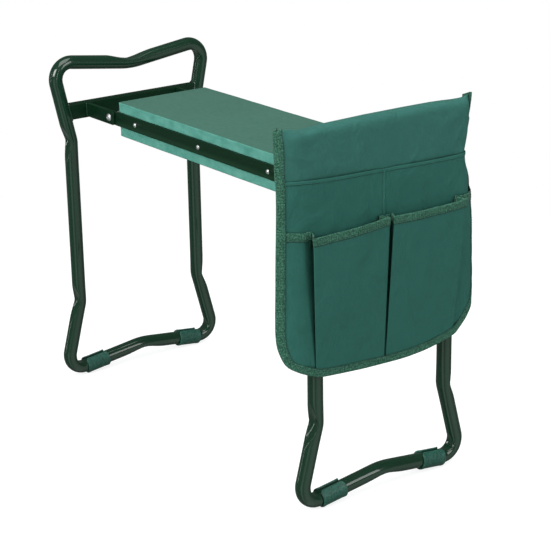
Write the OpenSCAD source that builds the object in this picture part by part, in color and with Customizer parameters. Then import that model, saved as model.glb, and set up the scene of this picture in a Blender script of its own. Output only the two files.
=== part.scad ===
// Folding garden kneeler seat: padded bench, two fold-in leg loops that
// double as hand rails, and a tool pouch that hangs over the right hand rail.
// X runs along the bench (right is +X), Y across it (front is -Y), Z up.
// The origin is on the floor, midway between the four feet.

/* [Overall] */
// Length over the two leg loops
overall_length = 600; // [560:5:640]
// Height of the hand rails above the floor
overall_height = 490; // [480:1:500]

/* [Leg loops] */
// Outside diameter of the leg tube
tube_d = 20; // [19:0.5:21]
// Wall thickness of the leg tube
tube_wall = 1.2; // [1:0.1:2]
// Half width between tube centres at the waist of the loop
waist_half = 106.3; // [104:0.1:108]
// Half width at the virtual foot corner
foot_half = 135.0; // [134:0.1:139]
// Half width at the virtual hand rail corner
hand_half = 132.0; // [131:0.1:135]
// Bend radius at the foot corners
foot_bend_r = 22; // [20:1:24]
// Bend radius at the hand rail corners
hand_bend_r = 24; // [22:1:26]
// Rise of the foot bar in the middle
foot_arch = 16.5; // [14:0.5:18]
// Dip of the hand rail in the middle
hand_dip = 17.5; // [14:0.5:19]
// Drain hole diameter under each foot bar
drain_d = 4; // [3:0.5:5]

/* [Crossbars and hinges] */
// Height of the rectangular crossbar
crossbar_h = 24; // [22:1:26]
// Depth of the rectangular crossbar
crossbar_d = 12; // [10:1:14]
// Wall of the rectangular crossbar
crossbar_wall = 1.5; // [1:0.1:2]
// Distance of each hinge pivot from the middle of the bench
pivot_x = 222; // [218:1:226]
// Hinge plate thickness
plate_t = 2; // [1.5:0.1:2.2]
// Pivot bolt diameter
bolt_d = 6; // [5:0.5:6]
// Diameter of the domed bolt head
bolt_head_d = 11; // [10:0.5:12]

/* [Seat] */
// Length of the foam pads
pad_length = 408; // [390:1:412]
// Width of the foam pads
pad_width = 150; // [146:1:150]
// Thickness of each foam pad
foam_t = 16; // [12:1:17]
// Length of the core board
board_length = 422; // [400:1:424]
// Thickness of the core board
board_t = 18; // [14:1:20]
// Height of the side rails
rail_h = 20; // [18:1:22]
// Thickness of the side rails
rail_t = 2; // [1.5:0.1:2]
// Spacing of the rail fixings
rivet_pitch = 157.5; // [140:0.5:165]

/* [Foot clips] */
// Length of a foot clip along the bar
clip_len = 38; // [30:1:38]
// Wall of a foot clip
clip_wall = 2.6; // [2:0.1:3]
// Slot along the top of a foot clip, through which it snaps on
clip_slot = 9.2; // [8:0.2:16]

/* [Tool pouch] */
// Half width of the pouch
pouch_half = 157.5; // [156:0.5:160]
// Height of the pouch bottom above the floor
pouch_bottom = 176; // [170:1:200]
// Height of the pouch top above the floor
pouch_top = 499; // [498:1:504]
// Sideways hang of the pouch on the rail
pouch_shift = -8; // [-9:1:-6]
// Drop of the hood on the bench side of the hand rail
hood_drop = 58; // [54:1:58]
// Height of the open top of the flat upper pocket
upper_top = 436; // [430:1:440]
// Width of the edge tape
tape_w = 12; // [10:1:14]
// Height of the lower pocket tops
pocket_top = 373; // [350:1:380]
// How far the lower pockets stand out at the top
pocket_depth = 14; // [8:1:18]
// Bottom corner radius of the pouch
pouch_corner_r = 62; // [40:1:70]

/* [Hidden] */
$fn = 48;

bracket_green = [0.09, 0.16, 0.13];
foam_green = [0.36, 0.62, 0.54];
bright_metal = [0.82, 0.84, 0.85];
pocket_green = [0.19, 0.42, 0.37];
tape_green = [0.22, 0.41, 0.31];

tube_r = tube_d / 2;
// X of each leg loop's plane
leg_x = overall_length / 2 - tube_r;
// hinge height, which is also the mid height of the seat board
pivot_z = 408;
// X of the crossbar face towards the bench
bar_face = leg_x - crossbar_d / 2;

// hinge stack, Y distances outwards from the middle of the bench
washer_t = 0.8;
hinge_gap = 0.05;
rail_in = pad_width / 2;
rail_out = rail_in + rail_t;
plate_in = rail_out + washer_t + hinge_gap;
head_in = plate_in + plate_t + hinge_gap;

// In the modules below, side is -1 for left and 1 for right,
// and fb is -1 for front and 1 for rear.

// ---------- leg loop ----------

// heights of the loop's virtual corners, tube centre
foot_corner_z = 7.7;
foot_mid_z = foot_corner_z + foot_arch;
waist_low_z = 116;
waist_high_z = 364.6;
hand_corner_z = overall_height - 6.1;
waist_bend_r = 40;
mid_bend_r = 60;

// straight runs are a hair slimmer than the bends and lap into them
joint_step = 0.12;
joint_lap = 1;
run_r = tube_r - joint_step;

// corners of the rear upright, from the foot up: [y, z, bend radius]
upright_pts = [
    [foot_half, foot_corner_z, foot_bend_r],
    [waist_half, waist_low_z, waist_bend_r],
    [waist_half, waist_high_z, waist_bend_r],
    [hand_half, hand_corner_z, hand_bend_r]];

// closed corner list: foot bar middle, rear upright, hand rail middle,
// then the front upright downwards
loop_pts = concat(
    [[0, foot_mid_z, mid_bend_r]],
    upright_pts,
    [[0, hand_corner_z - hand_dip, mid_bend_r]],
    [for (i = [3:-1:0]) let (p = upright_pts[i]) [-p[0], p[1], p[2]]]);
corner_count = len(loop_pts);

function loop_pt(i) = loop_pts[(i + corner_count) % corner_count];
function corner(i) = [loop_pt(i)[0], loop_pt(i)[1]];
function bend_r(i) = loop_pt(i)[2];
function unit(v) = v / norm(v);
function to_prev(i) = unit(corner(i - 1) - corner(i));
function to_next(i) = unit(corner(i + 1) - corner(i));
function turn(i) = 180 - acos(to_prev(i) * to_next(i));
function tangent_len(i) = bend_r(i) * tan(turn(i) / 2);
function arc_start(i) = corner(i) + to_prev(i) * tangent_len(i);
function arc_end(i) = corner(i) + to_next(i) * tangent_len(i);
function arc_centre(i) = corner(i) + unit(to_prev(i) + to_next(i))
    * bend_r(i) / cos(turn(i) / 2);
function cross2(a, b) = a[0] * b[1] - a[1] * b[0];
function heading(v) = atan2(v[1], v[0]);

// one straight run of tube section in the YZ plane; solid if r_in is 0
module run(from, to, r_out, r_in) {
    along = to - from;
    translate([0, from[0], from[1]])
    rotate([atan2(-along[0], along[1]), 0, 0])
    linear_extrude(norm(along)) difference() {
        circle(r_out);
        if (r_in > 0) circle(r_in);
    }
}

// one bend of tube section in the YZ plane
module bend(i, r_out, r_in) {
    centre = arc_centre(i);
    start = arc_start(i) - centre;
    end = arc_end(i) - centre;
    first = cross2(start, end) > 0 ? heading(start) : heading(end);
    translate([0, centre[0], centre[1]])
    rotate([90, 0, 90]) rotate([0, 0, first])
    rotate_extrude(angle = turn(i)) translate([bend_r(i), 0])
    difference() {
        circle(r_out);
        circle(r_in);
    }
}

module leg_tube(side) {
    drain_start = 4;  // below the underside of the bar
    drain_len = 9;
    color([0.10, 0.19, 0.15])
    translate([side * leg_x, 0, 0]) difference() {
        union() for (i = [0:corner_count - 1]) {
            lap = unit(arc_start(i + 1) - arc_end(i)) * joint_lap;
            run(arc_end(i) - lap, arc_start(i + 1) + lap,
                run_r, run_r - tube_wall);
            bend(i, tube_r, tube_r - tube_wall);
        }
        translate([0, 0, foot_mid_z - tube_r - drain_start])
            cylinder(d = drain_d, h = drain_len);
    }
}

// ---------- crossbars and hinge plates ----------

// flared top of one upright as a solid rod, used to cope the crossbar ends
module upright_rod(fb) {
    cope_gap = 0.02;
    run([fb * waist_half, waist_high_z], [fb * hand_half, hand_corner_z],
        run_r + cope_gap, 0);
}

module crossbar(side) {
    blank_half = 116;  // before the ends are coped
    bore_half = 120;
    bore_d = crossbar_d - 2 * crossbar_wall;
    bore_h = crossbar_h - 2 * crossbar_wall;
    color(bracket_green)
    translate([side * leg_x, 0, 0]) difference() {
        translate([-crossbar_d / 2, -blank_half, pivot_z - crossbar_h / 2])
            cube([crossbar_d, 2 * blank_half, crossbar_h]);
        translate([-bore_d / 2, -bore_half, pivot_z - bore_h / 2])
            cube([bore_d, 2 * bore_half, bore_h]);
        upright_rod(1);
        upright_rod(-1);
    }
}

// XZ profile made into a plate, its inner face a distance inner from Y = 0
module side_plate(fb, inner, thickness) {
    translate([0, fb * (inner + thickness / 2) + thickness / 2, 0])
    rotate([90, 0, 0]) linear_extrude(thickness) children();
}

// hinge plate: square root against the crossbar, rounded nose past the pivot
module bracket(side, fb) {
    plate_h = 20;
    corner_r = 4;
    hole_gap = 0.08;
    nose = pivot_x - 12.5;
    corner_x = nose + corner_r;
    color(bracket_green)
    side_plate(fb, plate_in, plate_t) difference() {
        union() {
            translate([side > 0 ? corner_x : -bar_face, pivot_z - plate_h / 2])
                square([bar_face - corner_x, plate_h]);
            translate([side > 0 ? nose : -corner_x,
                       pivot_z - plate_h / 2 + corner_r])
                square([corner_r, plate_h - 2 * corner_r]);
            for (s = [-1, 1])
                translate([side * corner_x,
                           pivot_z + s * (plate_h / 2 - corner_r)])
                    circle(corner_r);
        }
        translate([side * pivot_x, pivot_z]) circle(bolt_d / 2 + hole_gap);
    }
}

// ---------- foot clips ----------

module foot_clip(side, fb) {
    clip_y = 83.5;  // on the straight of the foot bar
    clip_z = foot_mid_z - clip_y * foot_arch / foot_half;
    bar_slope = atan2(foot_arch, foot_half);
    bore_r = run_r + 0.06;
    clip_r = tube_r + clip_wall;
    floor_block = [60, 80, 20];
    color([0.12, 0.36, 0.29])
    difference() {
        translate([side * leg_x, fb * clip_y, clip_z])
        rotate([-fb * bar_slope, 0, 0])
        rotate([90, 0, 0]) translate([0, 0, -clip_len / 2])
        linear_extrude(clip_len) difference() {
            circle(clip_r);
            circle(bore_r);
            translate([-clip_slot / 2, 0]) square([clip_slot, clip_r + 1]);
        }
        // trims the clip flat at the floor
        translate([side * leg_x - floor_block[0] / 2,
                   fb * clip_y - floor_block[1] / 2, -floor_block[2]])
            cube(floor_block);
    }
}

// ---------- seat ----------

slab_corner_r = 3;
rivet_r = 2;
rivet_hole_r = rivet_r + 0.02;
rivet_xs = [-rivet_pitch, 0, rivet_pitch];

module rounded_slab(length, width, thickness) {
    r = slab_corner_r;
    linear_extrude(thickness) union() {
        square([length - 2 * r, width], center = true);
        square([length, width - 2 * r], center = true);
        for (x = [-1, 1], y = [-1, 1])
            translate([x * (length / 2 - r), y * (width / 2 - r)]) circle(r);
    }
}

// places children at hinge height with their Z pointing along Y, way = +-1
module facing_y(x, y, way) {
    translate([x, y, pivot_z]) rotate([-way * 90, 0, 0]) children();
}

module seat_board() {
    color([0.45, 0.36, 0.24])
    difference() {
        translate([0, 0, pivot_z - board_t / 2])
            rounded_slab(board_length, pad_width - 0.1, board_t);
        for (x = rivet_xs, fb = [-1, 1])
            facing_y(x, fb * (rail_in + 1), -fb)
                cylinder(r = rivet_hole_r, h = 16);
    }
}

module foam_pad(bottom) {
    translate([0, 0, bottom]) rounded_slab(pad_length, pad_width - 0.2, foam_t);
}

module foam_top() {
    color(foam_green) foam_pad(pivot_z + board_t / 2);
}

module foam_bottom() {
    color(foam_green) foam_pad(pivot_z - board_t / 2 - foam_t);
}

// flat strip with relieved lower corners, so the crossbar can swing past
module side_rail(fb) {
    rail_end = bar_face - 0.2;
    relief_x = 3;
    relief_z = 9;
    hole_gap = 0.04;
    bottom = pivot_z - rail_h / 2;
    top = bottom + rail_h;
    color([0.08, 0.14, 0.11])
    side_plate(fb, rail_in, rail_t) difference() {
        polygon([[-rail_end, top], [-rail_end, bottom + relief_z],
                 [-rail_end + relief_x, bottom], [rail_end - relief_x, bottom],
                 [rail_end, bottom + relief_z], [rail_end, top]]);
        for (x = rivet_xs) translate([x, pivot_z]) circle(rivet_hole_r);
        for (x = [-1, 1]) translate([x * pivot_x, pivot_z])
            circle(bolt_d / 2 + hole_gap);
    }
}

// ---------- rivets, bolts, nuts and washers ----------

// spherical cap rising to rise, trimmed to head_r and flat at Z = 0
module domed_head(rise, dome_r, head_r, trim_h) {
    intersection() {
        translate([0, 0, rise - dome_r]) sphere(dome_r);
        cylinder(r = head_r, h = trim_h);
    }
}

module rail_rivets(fb) {
    shank_len = 15;
    head_lap = 0.2;
    color(bright_metal)
    for (x = rivet_xs) facing_y(x, fb * rail_out, fb) union() {
        domed_head(rise = 1.9, dome_r = 3.9, head_r = 3.35, trim_h = 4);
        translate([0, 0, -shank_len])
            cylinder(r = rivet_r, h = shank_len + head_lap);
    }
}

module pivot_bolts(side) {
    tail = 6.5;  // reach past the inner face of the rail
    shank_len = head_in - rail_in + tail;
    head_lap = 0.1;
    color(bright_metal)
    for (fb = [-1, 1]) facing_y(side * pivot_x, fb * head_in, fb) union() {
        domed_head(rise = 3.4, dome_r = 6.4, head_r = bolt_head_d / 2, trim_h = 6);
        translate([0, 0, -shank_len])
            cylinder(d = bolt_d, h = shank_len + head_lap);
    }
}

module pivot_nuts(side) {
    nut_d = 11.5;  // across corners
    nut_h = 5;
    color([0.78, 0.80, 0.81])
    for (fb = [-1, 1]) facing_y(side * pivot_x, fb * rail_in, -fb) difference() {
        cylinder(d = nut_d, h = nut_h, $fn = 6);
        translate([0, 0, -1]) cylinder(d = bolt_d + 0.04, h = nut_h + 2);
    }
}

module pivot_washers(side) {
    washer_d = 13;
    color([0.70, 0.72, 0.72])
    for (fb = [-1, 1]) facing_y(side * pivot_x, fb * rail_out, fb) difference() {
        cylinder(d = washer_d, h = washer_t);
        translate([0, 0, -1]) cylinder(d = bolt_d + 0.2, h = 4);
    }
}

// ---------- tool pouch ----------

cloth_t = 1.2;
// X of the inner face of each layer outside the leg tube
panel_x = leg_x + tube_r + 1.4;
upper_x = panel_x + 1.8;
lower_x = upper_x + 1.6;
// X of the hood face towards the tube, on the bench side
hood_x = leg_x - tube_r - 2.4;
hood_z = pouch_top - hood_drop;
// cloth stops short of the outer edge of the tape
cloth_inset = 1;
cloth_half = pouch_half - cloth_inset;
// the side wings bend away at wing_y and are swept by wing_drop at the edge
wing_y = pouch_half - 18.5;
wing_drop = 12.5;
// the hood wings sweep the other way, to meet those of the panel
hood_sweep = -(panel_x - wing_drop - hood_x);
// cutting blocks start at block_x and reach up past the pouch
block_x = 200;
block_w = 200;
block_h = 600;

// plan outline of a hanging sheet from x_in to x_out, its two edges
// swept by sweep (towards the bench when positive)
module sheet_plan(x_in, x_out, half, sweep) {
    shift = sweep * (half - wing_y) / (pouch_half - wing_y);
    polygon([[x_in - shift, -half], [x_in, -wing_y],
             [x_in, wing_y], [x_in - shift, half],
             [x_out - shift, half], [x_out, wing_y],
             [x_out, -wing_y], [x_out - shift, -half]]);
}

module sheet(x_in, x_out, half, bottom, top, sweep = wing_drop) {
    translate([0, 0, bottom]) linear_extrude(top - bottom)
        sheet_plan(x_in, x_out, half, sweep);
}

// block with the pouch's round-cornered YZ outline, inset by inset
module outline(inset) {
    r = pouch_corner_r - inset;
    half = pouch_half - inset;
    bottom = pouch_bottom + inset;
    translate([250, 0, 0]) rotate([90, 0, 90]) linear_extrude(100) union() {
        translate([-half, bottom + r])
            square([2 * half, block_h - bottom - r]);
        translate([-half + r, bottom]) square([2 * half - 2 * r, r + 1]);
        for (s = [-1, 1]) translate([s * (half - r), bottom + r]) circle(r);
    }
}

// one hanging layer of cloth cut to the pouch outline
module cloth_layer(x, top) {
    intersection() {
        sheet(x, x + cloth_t, cloth_half, pouch_bottom, top);
        outline(cloth_inset);
    }
}

// hood flap on the bench side, extended by extra at top and bottom
module hood_flap(extra = 0) {
    sheet(hood_x - cloth_t, hood_x, cloth_half,
          hood_z - extra, pouch_top + extra, hood_sweep);
}

// closed top over the hand rail
module hood_top(thickness) {
    reach = 12;
    translate([0, 0, pouch_top - cloth_t]) linear_extrude(thickness) union() {
        sheet_plan(panel_x - reach, panel_x + cloth_t, cloth_half, wing_drop);
        sheet_plan(hood_x - cloth_t, hood_x + reach, cloth_half, hood_sweep);
    }
}

module pouch_panel() {
    color([0.17, 0.37, 0.33])
    translate([0, pouch_shift, 0]) union() {
        cloth_layer(panel_x, pouch_top);
        hood_flap();
        hood_top(cloth_t);
    }
}

module pouch_upper_pocket() {
    color([0.18, 0.40, 0.36])
    translate([0, pouch_shift, 0]) cloth_layer(upper_x, upper_top);
}

// XZ profile spanning from near to far off the pouch middle, on side s
// (left is -Y, right is +Y), lengthened by grow at both ends
module span_y(s, near, far, grow) {
    translate([0, s > 0 ? near - grow : -far - grow, 0])
    rotate([90, 0, 0]) mirror([0, 0, 1])
    linear_extrude(far - near + 2 * grow) children();
}

// one pleated pocket on side s between two heights, grown by grow
// for the tape that wraps its rim
module pocket_shell(s, grow, bottom, top) {
    near = 3;
    far = 121.5;
    foot_z = pouch_bottom + 4;
    foot_x = lower_x + 0.6;
    rim_x = lower_x + pocket_depth;
    rim_z = pocket_top + grow;
    foot_out = [foot_x + cloth_t + grow, foot_z];
    rim_out = [rim_x + grow, rim_z];
    intersection() {
        union() {
            // face
            span_y(s, near, far, grow)
                polygon([[foot_x - grow, foot_z], foot_out,
                         rim_out, [rim_x - cloth_t - grow, rim_z]]);
            // side walls
            for (y = [near, far - cloth_t]) span_y(s, y, y + cloth_t, grow)
                polygon([[lower_x, foot_z], foot_out,
                         rim_out, [lower_x, rim_z]]);
            // flat flange out to the edge of the pouch
            intersection() {
                sheet(lower_x, lower_x + cloth_t + grow, cloth_half,
                      pouch_bottom, rim_z);
                translate([block_x, s > 0 ? far - cloth_t : -pouch_half, 0])
                    cube([block_w, pouch_half - far + cloth_t, block_h]);
            }
        }
        outline(cloth_inset);
        translate([0, -300, bottom]) cube([600, 600, top - bottom]);
    }
}

module full_pocket(s) {
    pocket_shell(s, 0, pouch_bottom, pocket_top);
}

module pouch_pocket(s) {
    color(pocket_green) translate([0, pouch_shift, 0]) full_pocket(s);
}

// block filling the width between the two side tapes
module between_tapes(x, z, width, height) {
    translate([x, -pouch_half + tape_w, z])
        cube([width, 2 * pouch_half - 2 * tape_w, height]);
}

module pouch_edge_tape() {
    tape_in = panel_x - 0.9;
    tape_out = lower_x + cloth_t + 1;
    color(tape_green)
    translate([0, pouch_shift, 0]) difference() {
        union() {
            // round the sides and bottom of the pouch
            intersection() {
                sheet(tape_in, tape_out, pouch_half, pouch_bottom, pouch_top);
                difference() {
                    outline(0);
                    outline(tape_w);
                }
            }
            // down both sides of the hood flap
            difference() {
                sheet(hood_x - cloth_t - 1, hood_x + 0.8, pouch_half,
                      hood_z, pouch_top, hood_sweep);
                between_tapes(block_x, 0, block_w, block_h);
            }
        }
        // room for the cloth inside
        cloth_layer(panel_x, pouch_top + 1);
        hood_flap(extra = 1);
        hood_top(5);
        cloth_layer(upper_x, upper_top);
        for (s = [-1, 1]) full_pocket(s);
    }
}

module pouch_pocket_tape() {
    tape_t = 0.8;
    tape_drop = 10;
    clear_z = 20;  // half height of the clearance block
    color(tape_green)
    translate([0, pouch_shift, 0]) for (s = [-1, 1]) difference() {
        pocket_shell(s, tape_t, pocket_top - tape_drop, pocket_top + tape_t);
        full_pocket(s);
        // stays clear of the edge tape
        difference() {
            translate([block_x, -300, pocket_top - clear_z])
                cube([block_w, 600, 2 * clear_z]);
            between_tapes(block_x - 1, pocket_top - clear_z - 1,
                          block_w + 2, 2 * clear_z + 2);
        }
    }
}

seat_board();
foam_top();
foam_bottom();
side_rail(-1);  // side_rail_front
side_rail(1);  // side_rail_rear
rail_rivets(-1);  // rail_rivets_front
rail_rivets(1);  // rail_rivets_rear
pivot_bolts(-1);  // pivot_bolts_left
pivot_bolts(1);  // pivot_bolts_right
pivot_nuts(-1);  // pivot_nuts_left
pivot_nuts(1);  // pivot_nuts_right
pivot_washers(-1);  // pivot_washers_left
pivot_washers(1);  // pivot_washers_right
leg_tube(-1);  // left_leg_tube
crossbar(-1);  // left_crossbar
bracket(-1, -1);  // left_bracket_front
bracket(-1, 1);  // left_bracket_rear
foot_clip(-1, -1);  // left_foot_front
foot_clip(-1, 1);  // left_foot_rear
leg_tube(1);  // right_leg_tube
crossbar(1);  // right_crossbar
bracket(1, -1);  // right_bracket_front
bracket(1, 1);  // right_bracket_rear
foot_clip(1, -1);  // right_foot_front
foot_clip(1, 1);  // right_foot_rear
pouch_panel();
pouch_upper_pocket();
pouch_pocket(-1);  // pouch_pocket_left
pouch_pocket(1);  // pouch_pocket_right
pouch_edge_tape();
pouch_pocket_tape();
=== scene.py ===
"""A padded bench between two tubular leg loops, with a cloth tool pouch hung over one loop.

The seat runs along X, with a leg loop at each end (left at -X, right at +X). Front is -Y, the
floor is z = 0. The pouch hangs outside the right loop and faces +X. Shapes are in mm and turned
into metres by make(); shaders, lights and camera are in metres.
"""
import math

import bmesh
import bpy
import numpy as np
from mathutils import Matrix, Vector


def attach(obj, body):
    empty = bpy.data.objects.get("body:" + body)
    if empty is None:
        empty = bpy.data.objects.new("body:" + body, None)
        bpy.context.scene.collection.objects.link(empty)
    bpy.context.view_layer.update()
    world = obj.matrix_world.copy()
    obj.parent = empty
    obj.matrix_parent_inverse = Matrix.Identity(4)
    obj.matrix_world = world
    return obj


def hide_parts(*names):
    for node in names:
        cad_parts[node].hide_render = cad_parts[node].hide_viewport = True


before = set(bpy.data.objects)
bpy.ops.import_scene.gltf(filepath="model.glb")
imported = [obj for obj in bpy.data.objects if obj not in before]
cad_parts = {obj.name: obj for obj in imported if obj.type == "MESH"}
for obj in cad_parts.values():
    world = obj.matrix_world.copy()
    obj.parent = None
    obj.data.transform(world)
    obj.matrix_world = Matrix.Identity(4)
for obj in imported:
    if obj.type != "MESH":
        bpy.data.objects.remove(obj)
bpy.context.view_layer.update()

MM = 0.001
SIDES = ((-1, "left"), (1, "right"))
ENDS = ((-1, "front"), (1, "rear"))

# Leg loops
TUBE_R = 9.92
LEG_X = 290.0
# corners of the loop's centre line: y, z, bend radius
LOOP = [(0, 24.2, 120), (135.0, 7.7, 22), (106.3, 116, 40), (106.3, 364.6, 40),
        (132.0, 483.9, 24), (0, 466.4, 120), (-132.0, 483.9, 24), (-106.3, 364.6, 40),
        (-106.3, 116, 40), (-135.0, 7.7, 22)]
# flattened inside of each bend: depth, half length, sharpness of the crease, dish across it
DENTS = [(5.7, 44, 0.50, 0.32), (3.2, 27, 0.35, 0.25), (6.8, 33, 0.55, 0.42),
         (6.2, 31, 0.55, 0.42), (3.0, 26, 0.35, 0.2), (5.5, 42, 0.62, 0.30),
         (3.0, 26, 0.35, 0.2), (6.2, 31, 0.55, 0.42), (6.8, 33, 0.55, 0.42),
         (3.2, 27, 0.35, 0.25)]

# Seat and its pivots
PIVOT_Z = 408.0
PIVOT_X = 222.0
STRIP_HALF = 10.0           # half height of the rail strips and hinge plates
BOARD_T, PAD_T = 18.0, 16.0
RAIL_IN, RAIL_OUT = 75.0, 77.0
PLATE_IN, PLATE_OUT = 77.85, 79.85
BOLT_Y = 79.9

scene = bpy.context.scene


# ------------------------------------------------------------------ node helpers

class Nodes:
    """A node tree being built. Keywords with a capital are inputs, the others properties."""

    def __init__(self, tree):
        self.tree = tree
        tree.nodes.clear()

    def node(self, kind, *inputs, **named):
        made = self.tree.nodes.new(kind)
        values = list(enumerate(inputs))
        for key, value in named.items():
            if key[0].isupper():
                values.append((key.replace("_", " "), value))
            else:
                setattr(made, key, value)
        for key, value in values:
            self.put(made.inputs[key], value)
        return made

    def put(self, socket, value):
        """Links or sets an input; None leaves it alone."""
        if value is None:
            return
        if isinstance(value, bpy.types.NodeSocket):
            self.tree.links.new(value, socket)
        elif isinstance(value, tuple) and socket.type == "RGBA":
            socket.default_value = (*value, 1)
        else:
            socket.default_value = value


class Material(Nodes):
    def __init__(self, name):
        self.material = bpy.data.materials.new(name)
        self.material.use_nodes = True
        super().__init__(self.material.node_tree)

    def surface(self, **inputs):
        """Ends the tree in a Principled shader and gives the material."""
        shader = self.node("ShaderNodeBsdfPrincipled", **inputs)
        self.node("ShaderNodeOutputMaterial", shader.outputs[0])
        return self.material

    def math(self, op, a, b=0.0, c=0.0, clamp=False):
        return self.node("ShaderNodeMath", a, b, c, operation=op, use_clamp=clamp).outputs[0]

    def mul(self, value, factor):
        return self.math("MULTIPLY", value, factor)

    def sub(self, value, less):
        return self.math("SUBTRACT", value, less)

    def scaled(self, value, amount):
        return value if amount is None else self.mul(value, amount)

    def add(self, value, more, amount=None, clamp=False):
        """value + more * amount"""
        return self.math("ADD", value, self.scaled(more, amount), clamp=clamp)

    def mix(self, base, over, mask, amount=None):
        """Colour base, covered by over where mask * amount is 1."""
        # the five inputs skipped belong to the node's other data types
        return self.node("ShaderNodeMix", self.scaled(mask, amount), *[None] * 5, base, over,
                         data_type="RGBA").outputs[2]

    def ramp(self, value, start, end, first=0.0, last=1.0, ease="LINEAR"):
        """Goes from first to last as value goes from start to end."""
        ramp = self.node("ShaderNodeValToRGB", value)
        ramp.color_ramp.interpolation = ease
        stops = ramp.color_ramp.elements
        for stop, place, grey in ((stops[0], start, first), (stops[1], end, last)):
            stop.position = place
            stop.color = (grey, grey, grey, 1)
        return ramp.outputs[0]

    def coord(self, kind="Object"):
        return self.node("ShaderNodeTexCoord").outputs[kind]

    def noise(self, at, scale, detail=3.0, roughness=0.55, distortion=0.0):
        return self.node("ShaderNodeTexNoise", Vector=at, Scale=scale, Detail=detail,
                         Roughness=roughness, Distortion=distortion).outputs[0]

    def cells(self, at, scale, output):
        return self.node("ShaderNodeTexVoronoi", Vector=at, Scale=scale).outputs[output]

    def stretch(self, at, x, y, z):
        return self.node("ShaderNodeMapping", Vector=at, Scale=(x, y, z)).outputs[0]

    def bump(self, height, strength, distance, normal=None):
        return self.node("ShaderNodeBump", Height=height, Strength=strength, Distance=distance,
                         Normal=normal).outputs[0]

    def split(self, vector):
        return self.node("ShaderNodeSeparateXYZ", Vector=vector).outputs


# ------------------------------------------------------------------ materials

def brighter(colour, gain, lift):
    return tuple(min(1, gain * part + lift) for part in colour)


def paint(name, base, light, roughness, coat, peel, specular):
    """Powder coat; peel is the strength of its orange-peel bumps."""
    mat = Material(name)
    at = mat.coord()
    colour = mat.mix(base, light, mat.noise(at, scale=14), amount=0.9)
    # dust and rub marks, thin and sparse
    rub = mat.noise(mat.stretch(at, 1.0, 1.0, 0.25), scale=190, detail=4, roughness=0.7)
    mark = mat.ramp(rub, start=0.66, end=0.74)
    colour = mat.mix(colour, brighter(light, gain=2.2, lift=0.02), mark, amount=0.10)
    # worn edges, where the coat thins on sharp corners
    edge = mat.ramp(mat.node("ShaderNodeNewGeometry").outputs["Pointiness"], start=0.53, end=0.60)
    colour = mat.mix(colour, brighter(light, gain=2.6, lift=0.015), edge, amount=0.22)
    uneven = mat.sub(mat.noise(at, scale=60, detail=4), 0.5)
    rough = mat.add(mat.add(roughness, uneven, amount=0.10), mark, amount=0.15)
    height = mat.add(mat.mul(mat.noise(at, scale=260, detail=2), 1.0),
                     mat.noise(at, scale=420, detail=2), amount=0.35)
    return mat.surface(Base_Color=colour, Roughness=rough,
                       Normal=mat.bump(height, strength=peel, distance=0.0004),
                       Coat_Weight=coat, Coat_Roughness=0.045, IOR=1.5,
                       Specular_IOR_Level=specular)


def zinc():
    mat = Material("bright_zinc")
    at = mat.coord()
    spangle = mat.split(mat.cells(at, scale=900.0, output="Color"))[0]
    colour = mat.mix((0.72, 0.74, 0.75), (0.92, 0.93, 0.94), spangle)
    tarnish = mat.ramp(mat.noise(at, scale=500, detail=4), start=0.45, end=0.75)
    colour = mat.mix(colour, (0.38, 0.38, 0.36), tarnish, amount=0.3)
    return mat.surface(Base_Color=colour, Metallic=1.0,
                       Roughness=mat.add(0.34, mat.noise(at, scale=700), amount=0.2),
                       Normal=mat.bump(mat.noise(at, scale=1500), strength=0.25,
                                       distance=0.00015))


def plastic():
    mat = Material("moulded_foot_plastic")
    at = mat.coord()
    colour = mat.mix((0.009, 0.060, 0.041), (0.016, 0.090, 0.062), mat.noise(at, scale=30))
    flow = mat.noise(mat.stretch(at, 0.5, 3.0, 1.0), scale=90)
    colour = mat.mix(colour, (0.035, 0.14, 0.11), flow, amount=0.35)
    scuff = mat.noise(mat.stretch(at, 3.0, 0.6, 3.0), scale=240, detail=5, roughness=0.7)
    colour = mat.mix(colour, (0.12, 0.22, 0.19), mat.ramp(scuff, start=0.62, end=0.72),
                     amount=0.12)
    # pale and dark grains
    grit = mat.noise(at, scale=430, roughness=0.7)
    colour = mat.mix(colour, (0.030, 0.150, 0.105), mat.ramp(grit, start=0.48, end=0.64, last=0.8))
    colour = mat.mix(colour, (0.005, 0.036, 0.024),
                     mat.ramp(grit, start=0.36, end=0.47, first=0.7, last=0.0))
    height = mat.add(grit, mat.noise(at, scale=200, detail=2), amount=0.6)
    return mat.surface(Base_Color=colour, Roughness=mat.add(0.38, flow, amount=0.14), IOR=1.49,
                       Normal=mat.bump(height, strength=0.5, distance=0.0005))


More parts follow.
